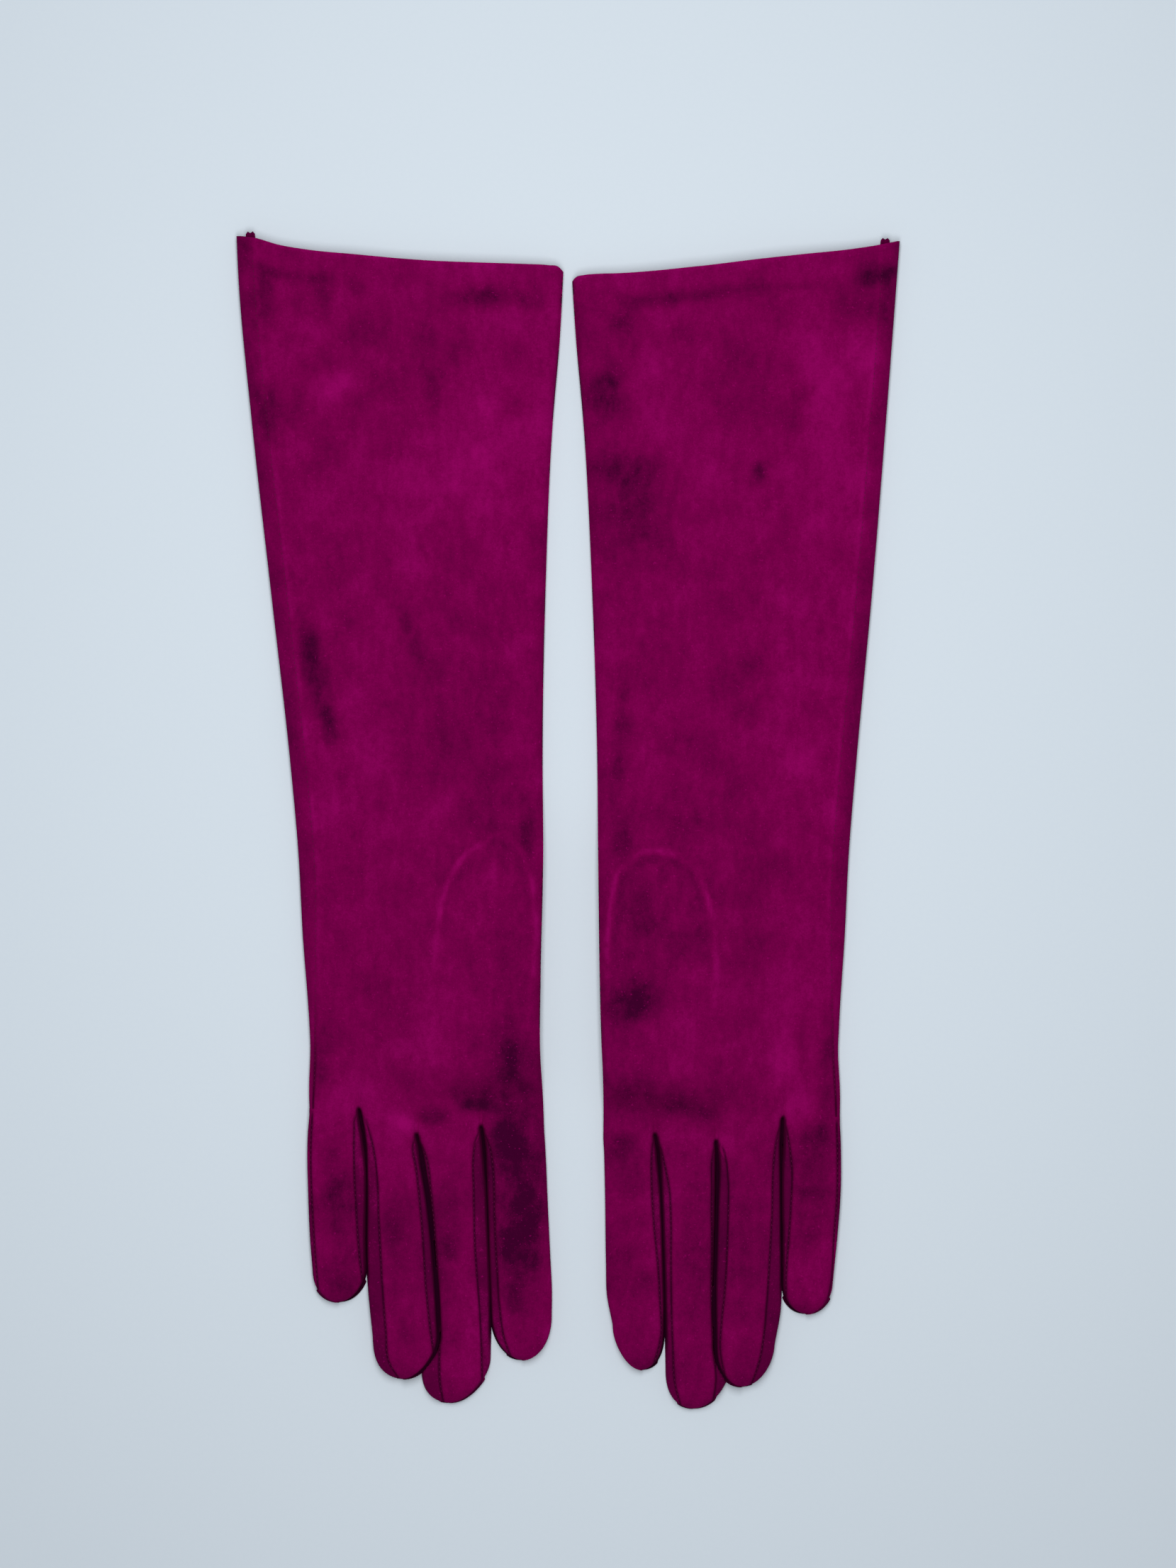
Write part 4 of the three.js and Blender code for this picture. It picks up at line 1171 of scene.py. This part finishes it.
def finger_grid(finger, runs):
    """Joins runs of columns into one grid, and marks its seams, the painted shade in its slits,
    and its nap.
    """
    rows = finger_rows(finger)
    along = rows[:, None]
    glove = finger.glove
    parts = []
    for first, last, shares, face, seams in runs:
        x, y, z, lines = finger_run(finger, rows, first, last, shares, face)
        mark = np.zeros(x.shape)
        for seam in seams:
            away = x - lines[seam]
            depth = glove.groove * (1 if face == "top" else -PALM_GROOVE)
            z = z - depth * smooth(along / SEAM_RUN) * bump(away, glove.groove_width)
            mark = np.maximum(mark, 0.85 * bump(away, 0.8) * smooth(along / 3))
        # Painted shade down in the slits beside other fingers, carried in the seam mark.
        mark = np.maximum(mark, finger.shade(x, y))
        if face == "top":
            calm = smooth(along / 8) * finger.closing(y)
            z = z + calm * hills(x, y, FINGER_HILLS, glove.seed)
        parts.append((x, y, z, mark))
    x, y, z, mark = [np.concatenate([p[i] for p in parts], axis=1) for i in range(4)]
    z = np.maximum(z, LEAST_HEIGHT)
    return np.stack([x, y, z], axis=-1), {"seam": mark, "nap": glove.nap(x, y)}


def finger_pieces(finger):
    """The runs of columns of each of a finger's pieces, in order round its section."""
    across_back, across_palm = crowded(BACK_COLUMNS), crowded(PALM_COLUMNS)
    ease = (np.arange(STRIP_COLUMNS + 1) / STRIP_COLUMNS) ** 2
    to_edge = 1 - ease[::-1]
    down_top = ("inner_seam", "inner", to_edge, "top", ["inner_seam"])
    down_bottom = ("inner", "inner_seam", ease[1:], "bottom", ["inner_seam"])
    up_bottom = ("outer_seam", "outer", to_edge, "bottom", ["outer_seam"])
    up_top = ("outer", "outer_seam", ease[1:], "top", ["outer_seam"])
    inner_strip, outer_strip = [down_top, down_bottom], [up_bottom, up_top]
    if finger.name == "index":
        back = [("outer_seam", "inner", across_back, "top", ["outer_seam"]),
                ("inner", "outer_seam", across_palm[1:], "bottom", ["outer_seam"])]
        return {"leather": (back, ["back", "palm"]),
                "fourchette_outer": (outer_strip, ["fourchette_outer"])}
    back = [("outer_seam", "inner_seam", across_back, "top", ["outer_seam", "inner_seam"])]
    if finger.name == "little":
        palm = [("inner_seam", "outer", across_palm, "bottom", ["inner_seam"]), up_top]
        return {"back": (back, ["back"]), "palm": (palm, ["palm"]),
                "fourchette_inner": (inner_strip, ["fourchette_inner"])}
    palm = [("inner_seam", "outer_seam", across_palm, "bottom", ["inner_seam", "outer_seam"])]
    return {"back": (back, ["back"]), "palm": (palm, ["palm"]),
            "fourchette_inner": (inner_strip, ["fourchette_inner"]),
            "fourchette_outer": (outer_strip, ["fourchette_outer"])}


def bend_with_finger(piece, finger):
    """Works out the middle of the finger where a bend would start and end, then bakes the piece's
    placement into its mesh.
    """
    glove = finger.glove
    start, end = [finger.start + away for away in FINGER_BEND]
    outer_start, inner_start = finger.edges(np.array(start))
    outer_end, inner_end = finger.edges(np.array(end))
    glove.point(float(outer_start + inner_start) / 2, start)
    glove.point(float(outer_end + inner_end) / 2, end)
    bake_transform(piece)


def make_fingers(glove, colours, strips):
    """Makes the fingers' back and palm leather, or their side strips."""
    for finger in glove.fingers.values():
        for part, (runs, nodes) in finger_pieces(finger).items():
            if part.startswith("fourchette") != strips:
                continue
            grid, marks = finger_grid(finger, runs)
            thickness = glove.leather * PARED * lerp(0.05, 1, finger.closing(grid[..., 1]))
            name = f"{glove.side}_{finger.name}_{part}"
            if name in bpy.data.objects:
                name += "_suede"
            piece = leather_piece(name, glove, grid, marks, thickness)
            bend_with_finger(piece, finger)
            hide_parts(*[f"{glove.side}_{finger.name}_{node}" for node in nodes])
            # Side strips take the darker suede, which is painted shade between the fingers.
            dress_suede(piece, colours, "suede_side" if strips else "suede")


# ---------- Thumb, folded flat under the palm ----------
THUMB_RING = 40  # points round the thumb
THUMB_TIP_Y, THUMB_TOP_Y = 6.5, 95
THUMB_TIP_ROUND = 17  # length of the round tip
THUMB_ARCH_Y = 70  # where the arch at the thumb's top starts
THUMB_BEND = 82, 58  # points at these places are worked out; the leather does not bend there
THUMB_MIDDLE = 21
THUMB_LEAST = 0.4  # half of the thumb's width at its very ends


def thumb_section(y):
    """The thumb's half width and middle where it lies."""
    up = np.clip((y - THUMB_TIP_Y) / 62, 0, 1)
    half = lerp(10.6, 17.2, smooth(up * 1.15))
    tip_turn = np.clip((THUMB_TIP_Y + THUMB_TIP_ROUND - y) / THUMB_TIP_ROUND, 0, 1)
    arch_turn = np.clip((y - THUMB_ARCH_Y) / (THUMB_TOP_Y - THUMB_ARCH_Y), 0, 1)
    round_end = np.sqrt(np.maximum(1 - tip_turn**2.1, 0) * np.maximum(1 - arch_turn**2.2, 0))
    return lerp(20.8, 21.6, up), np.maximum(half * round_end, THUMB_LEAST), round_end


def blunt(wave, power):
    """A sine or cosine with squarer shoulders."""
    return np.sign(wave) * np.abs(wave) ** power


def thumb_leather(glove, colours):
    """The thumb's leather, a flat tube closed at its tip and open to the oval hole above it."""
    turn = np.radians(np.linspace(0, 88, 16))
    rows = np.concatenate([
        THUMB_TIP_Y + THUMB_TIP_ROUND * (1 - np.sin(turn[::-1])),
        np.arange(25, THUMB_ARCH_Y, 1.5),
        THUMB_ARCH_Y + (THUMB_TOP_Y - THUMB_ARCH_Y) * np.sin(turn),
    ])
    angle = np.linspace(0, 2 * np.pi, THUMB_RING + 1)
    y, angle = np.meshgrid(rows, angle, indexing="ij")
    middle, half, round_end = thumb_section(y)
    x = middle + half * blunt(np.cos(angle), 0.8)
    room = np.maximum(glove.lift(x, y) - 0.3, 0.3)
    rise = blunt(np.sin(angle), 0.75)
    z = np.minimum(glove.thumb, room) * np.sqrt(round_end) * (1 + rise) / 2 + LEAST_HEIGHT
    # The thumb's own seam runs down its outer side.
    from_seam = half * (angle - math.pi) / 2
    z = z + 0.25 * bump(from_seam, 1.6) * (rise < 0.3) * np.sqrt(round_end)
    skip = whole_quads(in_thumb_hole(x, y) & (rise > 0.5))
    marks = {"seam": bump(from_seam, 1.6), "nap": glove.nap(x + 50, y)}
    piece = leather_piece(glove.side + "_thumb_leather", glove, np.stack([x, y, z], axis=-1),
                          marks, glove.leather * PARED * round_end**2, weld=True, skip=skip)
    first, last = THUMB_BEND
    glove.point(THUMB_MIDDLE, first)
    glove.point(THUMB_MIDDLE, last)
    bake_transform(piece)
    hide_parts(glove.side + "_thumb", glove.side + "_thumb_root")
    dress_suede(piece, colours, "suede")


# ---------- Hem and seam tail ----------
HEM_COLUMNS, HEM_ROWS = 60, 9
HEM_PARED = 0.7  # the hem is this share of the body leather's thickness
HEM_GAP = 0.25  # between the hem and the leather that it is turned in against
HEM_BELOW = 0.4  # the hem starts this far below the cuff's edge
TAIL_OUT, TAIL_IN, TAIL_HALF = 1.6, 7, 1.15  # the seam tail beyond the cuff, inside it, half wide


def hem_leather(glove, colours):
    """The leather turned in at the cuff: a band against the inside of the sleeve."""
    share = even_shares(HEM_COLUMNS)
    depth = np.linspace(0, 1, HEM_ROWS)[:, None]
    inset = glove.leather + HEM_GAP
    faces = []
    for face in ("top", "bottom"):
        y = np.full((HEM_ROWS, HEM_COLUMNS), 290.0)
        for _ in range(3):
            x = lerp(glove.outer(y) + inset, glove.inner(y) - inset, share)
            y = glove.cuff(x) - HEM_BELOW - depth * glove.hem
        back, palm = glove.plain_back(x, y), glove.plain_palm(x, y)
        middle = (back + palm) / 2
        z = np.maximum(back - inset, middle) if face == "top" else np.minimum(palm + inset, middle)
        faces.append((x, y, z))
    grid = np.stack([np.concatenate([top, bottom[:, -2::-1]], axis=1)
                     for top, bottom in zip(*faces)], axis=-1)
    marks = {"seam": np.zeros(grid.shape[:2]), "nap": glove.nap(grid[..., 0], grid[..., 1] + 40)}
    piece = leather_piece(glove.side + "_hem", glove, grid, marks, glove.leather * HEM_PARED)
    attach(piece, glove.side + "_sleeve")
    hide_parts(glove.side + "_hem_back", glove.side + "_hem_palm")
    dress_suede(piece, colours, "suede_hem")


def seam_tail(glove, colours):
    """The end of the outer seam's allowance, which peeps out at the cuff."""
    middle = float(glove.outer(300) + glove.seam_inset(300)) - 0.6
    along, share = np.meshgrid(np.linspace(-TAIL_IN, TAIL_OUT, 14), np.linspace(-1, 1, 9),
                               indexing="ij")
    closing = np.clip(along / (TAIL_OUT + 0.05), 0, 1)
    x = middle + TAIL_HALF * np.sqrt(np.maximum(1 - closing**3, 0.02)) * share
    y = float(glove.cuff(middle)) + along
    z = 4.1 + 0.5 * share**2 + 0.12 * along
    marks = {"seam": 0.1, "nap": 0.2}
    piece = leather_piece(glove.side + "_seam_tail", glove, np.stack([x, y, z], axis=-1), marks,
                          glove.leather, flip=True)
    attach(piece, glove.side + "_sleeve")
    dress_suede(piece, colours, "suede_side")


# ---------- Stitches ----------
THREAD_SIDES, THREAD_RINGS = 6, 5
STITCH_ENDS = 0.45  # a stitch's ends are this share as thick as its middle
STITCH_BOW = 0.55  # how high it bows, in thread diameters
STITCH_SINK = 0.12  # how deep it is pulled into the leather
STITCH_EDGE = 0.8  # no stitches nearer than this to a finger's edge


def stitch_mesh(name, glove, path):
    """Stitches along a path of points, each a short round thread that dips in at both ends."""
    step = np.linalg.norm(np.diff(path, axis=0), axis=1)
    place = np.concatenate([[0], np.cumsum(step)])
    turn = 2 * np.pi * np.arange(THREAD_SIDES) / THREAD_SIDES
    reach = np.linspace(-0.5, 0.5, THREAD_RINGS) * glove.stitch
    points, faces = [], []
    for k in range(int(place[-1] / glove.stitch_pitch)):
        middle = (k + 0.5) * glove.stitch_pitch
        base = len(points)
        at = np.stack([np.interp(middle + reach, place, path[:, i]) for i in range(3)], axis=1)
        along = (at[-1] - at[0]) / np.linalg.norm(at[-1] - at[0])
        side = np.cross(along, (0, 0, 1))
        side /= np.linalg.norm(side)
        up = np.cross(side, along)
        for i, centre in enumerate(at):
            bow = math.sin(math.pi * i / (THREAD_RINGS - 1))
            radius = glove.thread / 2 * lerp(STITCH_ENDS, 1, bow)
            centre = centre + up * (glove.thread * STITCH_BOW * bow - STITCH_SINK)
            points.extend(centre + radius * (math.cos(t) * side + math.sin(t) * up) for t in turn)
        for i in range(THREAD_RINGS - 1):
            for j in range(THREAD_SIDES):
                a = base + i * THREAD_SIDES + j
                b = base + i * THREAD_SIDES + (j + 1) % THREAD_SIDES
                faces.append((a, b, b + THREAD_SIDES, a + THREAD_SIDES))
        first_ring = tuple(range(base, base + THREAD_SIDES))
        last_ring = tuple(n + (THREAD_RINGS - 1) * THREAD_SIDES for n in first_ring)
        faces += [first_ring[::-1], last_ring]
    points = np.array(points)
    if not glove.mirrored:
        faces = [f[::-1] for f in faces]
    mesh = bpy.data.meshes.new(name)
    mesh.from_pydata(glove.place(points).tolist(), [], faces)
    mesh.shade_smooth()
    set_attribute(mesh, "lie", points, glove)
    return add_object(name, mesh)


def finger_stitches(finger, colours):
    """Stitches along the seams of a finger's back."""
    glove = finger.glove
    rows = finger_rows(finger)
    rows = rows[(rows > 3) & (rows < rows[-1] - 2)]
    for line in ("outer_seam", "inner_seam"):
        if finger.at_side(1) and line == "inner_seam":
            continue
        x, y, z, lines = finger_run(finger, rows, line, line, np.array([0.0]), "top")
        inside = np.minimum(x - lines["outer"], lines["inner"] - x)[:, 0] > STITCH_EDGE
        x, y, z = x[inside], y[inside], z[inside]
        path = np.concatenate([x, y, z - glove.groove], axis=1)
        name = f"{glove.side}_{finger.name}_{line}_stitches"
        piece = stitch_mesh(name, glove, path)
        bend_with_finger(piece, finger)
        dress(piece, sewing_thread(colours))


def sleeve_stitches(glove, colours):
    """Stitches along the outer seam, from the little finger's root to the cuff."""
    y = np.arange(12, 296, 1.5)
    x = glove.outer(y) + glove.seam_inset(y)
    z = glove.plain_back(x, y)
    piece = stitch_mesh(glove.side + "_outer_seam_stitches", glove, np.stack([x, y, z], axis=1))
    bend_at_wrist(piece, glove)
    dress(piece, sewing_thread(colours))


# ---------- Operators ----------
class GloveOperator:
    """What the operators for the pieces share: each makes its pieces for both gloves."""

    bl_options = {"REGISTER", "UNDO"}

    def execute(self, context):
        colours = context.scene.glove_colours
        for glove in gloves(context):
            self.make(glove, colours)
        return {"FINISHED"}


class OBJECT_OT_glove_bodies(GloveOperator, bpy.types.Operator):
    """Make each glove's body leather: its sleeve and its hand"""

    bl_idname = "object.glove_bodies"
    bl_label = "Body leather"

    def make(self, glove, colours):
        dress_suede(body_leather(glove), colours, "suede")


class OBJECT_OT_glove_fingers(GloveOperator, bpy.types.Operator):
    """Make the backs and palms of the fingers"""

    bl_idname = "object.glove_fingers"
    bl_label = "Fingers"

    def make(self, glove, colours):
        make_fingers(glove, colours, strips=False)


class OBJECT_OT_glove_side_strips(GloveOperator, bpy.types.Operator):
    """Make the side strips between the fingers"""

    bl_idname = "object.glove_side_strips"
    bl_label = "Side strips"

    def make(self, glove, colours):
        make_fingers(glove, colours, strips=True)


class OBJECT_OT_glove_thumbs(GloveOperator, bpy.types.Operator):
    """Make the thumbs, folded under the palms"""

    bl_idname = "object.glove_thumbs"
    bl_label = "Thumbs"

    def make(self, glove, colours):
        thumb_leather(glove, colours)


class OBJECT_OT_glove_hems(GloveOperator, bpy.types.Operator):
    """Make the turned-in hems and the seam tails at the cuffs"""

    bl_idname = "object.glove_hems"
    bl_label = "Hems and seam tails"

    def make(self, glove, colours):
        hem_leather(glove, colours)
        seam_tail(glove, colours)


class OBJECT_OT_glove_stitches(GloveOperator, bpy.types.Operator):
    """Sew the stitches of the finger seams and the outer seams"""

    bl_idname = "object.glove_stitches"
    bl_label = "Stitches"

    def make(self, glove, colours):
        for finger in glove.fingers.values():
            finger_stitches(finger, colours)
        sleeve_stitches(glove, colours)


# The stage, in metres: the floor, the soft light panel above it, the room's own light, and the
# place on the floor that the camera is straight above.
FLOOR_SIZE, FLOOR_GAP = 4, 0.02 * MM
LAMP_PLACE, LAMP_TARGET, LAMP_SIZE = (0, 0.13, 0.8), (0, 0.13, 0), (0.3, 0.9)
LAMP_POWER = 6.7
ROOM_SHADE, ROOM_STRENGTH = "#F4F8FF", 0.26
CAMERA_OVER = 0.0071, 0.013


class SCENE_OT_glove_stage(bpy.types.Operator):
    """Set up the floor, the soft studio light and the camera straight above"""

    bl_idname = "scene.glove_stage"
    bl_label = "Stage"

    view_height: FloatProperty(name="View height", description="Floor along the view",
                               default=0.5364, unit="LENGTH")
    camera_height: FloatProperty(name="Camera height", description="Camera above the floor",
                                 default=1.6, unit="LENGTH")

    def execute(self, context):
        scene = context.scene
        colours = scene.glove_colours
        scene.view_settings.view_transform = "Standard"
        under = CAD_BOX[0][2] - FLOOR_GAP
        bpy.ops.mesh.primitive_plane_add(size=FLOOR_SIZE, location=(0, 0, under))
        floor = context.object
        floor.name = "floor"
        floor.data.materials.append(painted_board(colours))
        add_light("overhead", LAMP_PLACE, LAMP_TARGET, LAMP_SIZE, LAMP_POWER)
        world = bpy.data.worlds.new("soft_room")
        world.use_nodes = True
        background = world.node_tree.nodes["Background"]
        background.inputs["Color"].default_value = linear(ROOM_SHADE)
        background.inputs["Strength"].default_value = ROOM_STRENGTH
        scene.world = world
        camera = bpy.data.cameras.new("camera")
        camera.sensor_fit = "VERTICAL"
        camera.angle = 2 * math.atan(self.view_height / 2 / self.camera_height)
        eye = bpy.data.objects.new("camera", camera)
        eye.location = (*CAMERA_OVER, self.camera_height)
        scene.collection.objects.link(eye)
        scene.camera = eye
        return {"FINISHED"}


def add_light(name, place, target, size, power):
    """A soft light panel that faces its target. The camera doesn't see it."""
    data = bpy.data.lights.new(name, "AREA")
    data.shape, data.energy = "RECTANGLE", power
    data.size, data.size_y = size
    lamp = bpy.data.objects.new(name, data)
    lamp.visible_camera = False
    lamp.location = place
    aim = Vector(target) - Vector(place)
    lamp.rotation_euler = aim.to_track_quat("-Z", "Y").to_euler()
    bpy.context.scene.collection.objects.link(lamp)


class VIEW3D_PT_opera_gloves(bpy.types.Panel):
    """Lists the glove pieces, their sizes and their colours"""

    bl_label = "Opera gloves"
    bl_idname = "VIEW3D_PT_opera_gloves"
    bl_space_type = "VIEW_3D"
    bl_region_type = "UI"
    bl_category = "Opera gloves"

    def draw(self, context):
        for group in (context.scene.glove_sizes, context.scene.glove_colours):
            for name in group.__annotations__:
                self.layout.prop(group, name)
        for operator in MAKERS:
            self.layout.operator(operator.bl_idname)


MAKERS = (
    SCENE_OT_glove_stage,
    OBJECT_OT_glove_bodies,
    OBJECT_OT_glove_fingers,
    OBJECT_OT_glove_side_strips,
    OBJECT_OT_glove_thumbs,
    OBJECT_OT_glove_hems,
    OBJECT_OT_glove_stitches,
)
CLASSES = (GloveSizes, GloveColours, *MAKERS, VIEW3D_PT_opera_gloves)


def register():
    for item in CLASSES:
        bpy.utils.register_class(item)
    bpy.types.Scene.glove_sizes = PointerProperty(type=GloveSizes)
    bpy.types.Scene.glove_colours = PointerProperty(type=GloveColours)


def unregister():
    del bpy.types.Scene.glove_colours
    del bpy.types.Scene.glove_sizes
    for item in reversed(CLASSES):
        bpy.utils.unregister_class(item)


def main():
    register()
    bpy.ops.scene.glove_stage()
    bpy.ops.object.glove_bodies()
    bpy.ops.object.glove_fingers()
    bpy.ops.object.glove_side_strips()
    bpy.ops.object.glove_thumbs()
    bpy.ops.object.glove_hems()
    bpy.ops.object.glove_stitches()


if __name__ == "__main__":
    main()
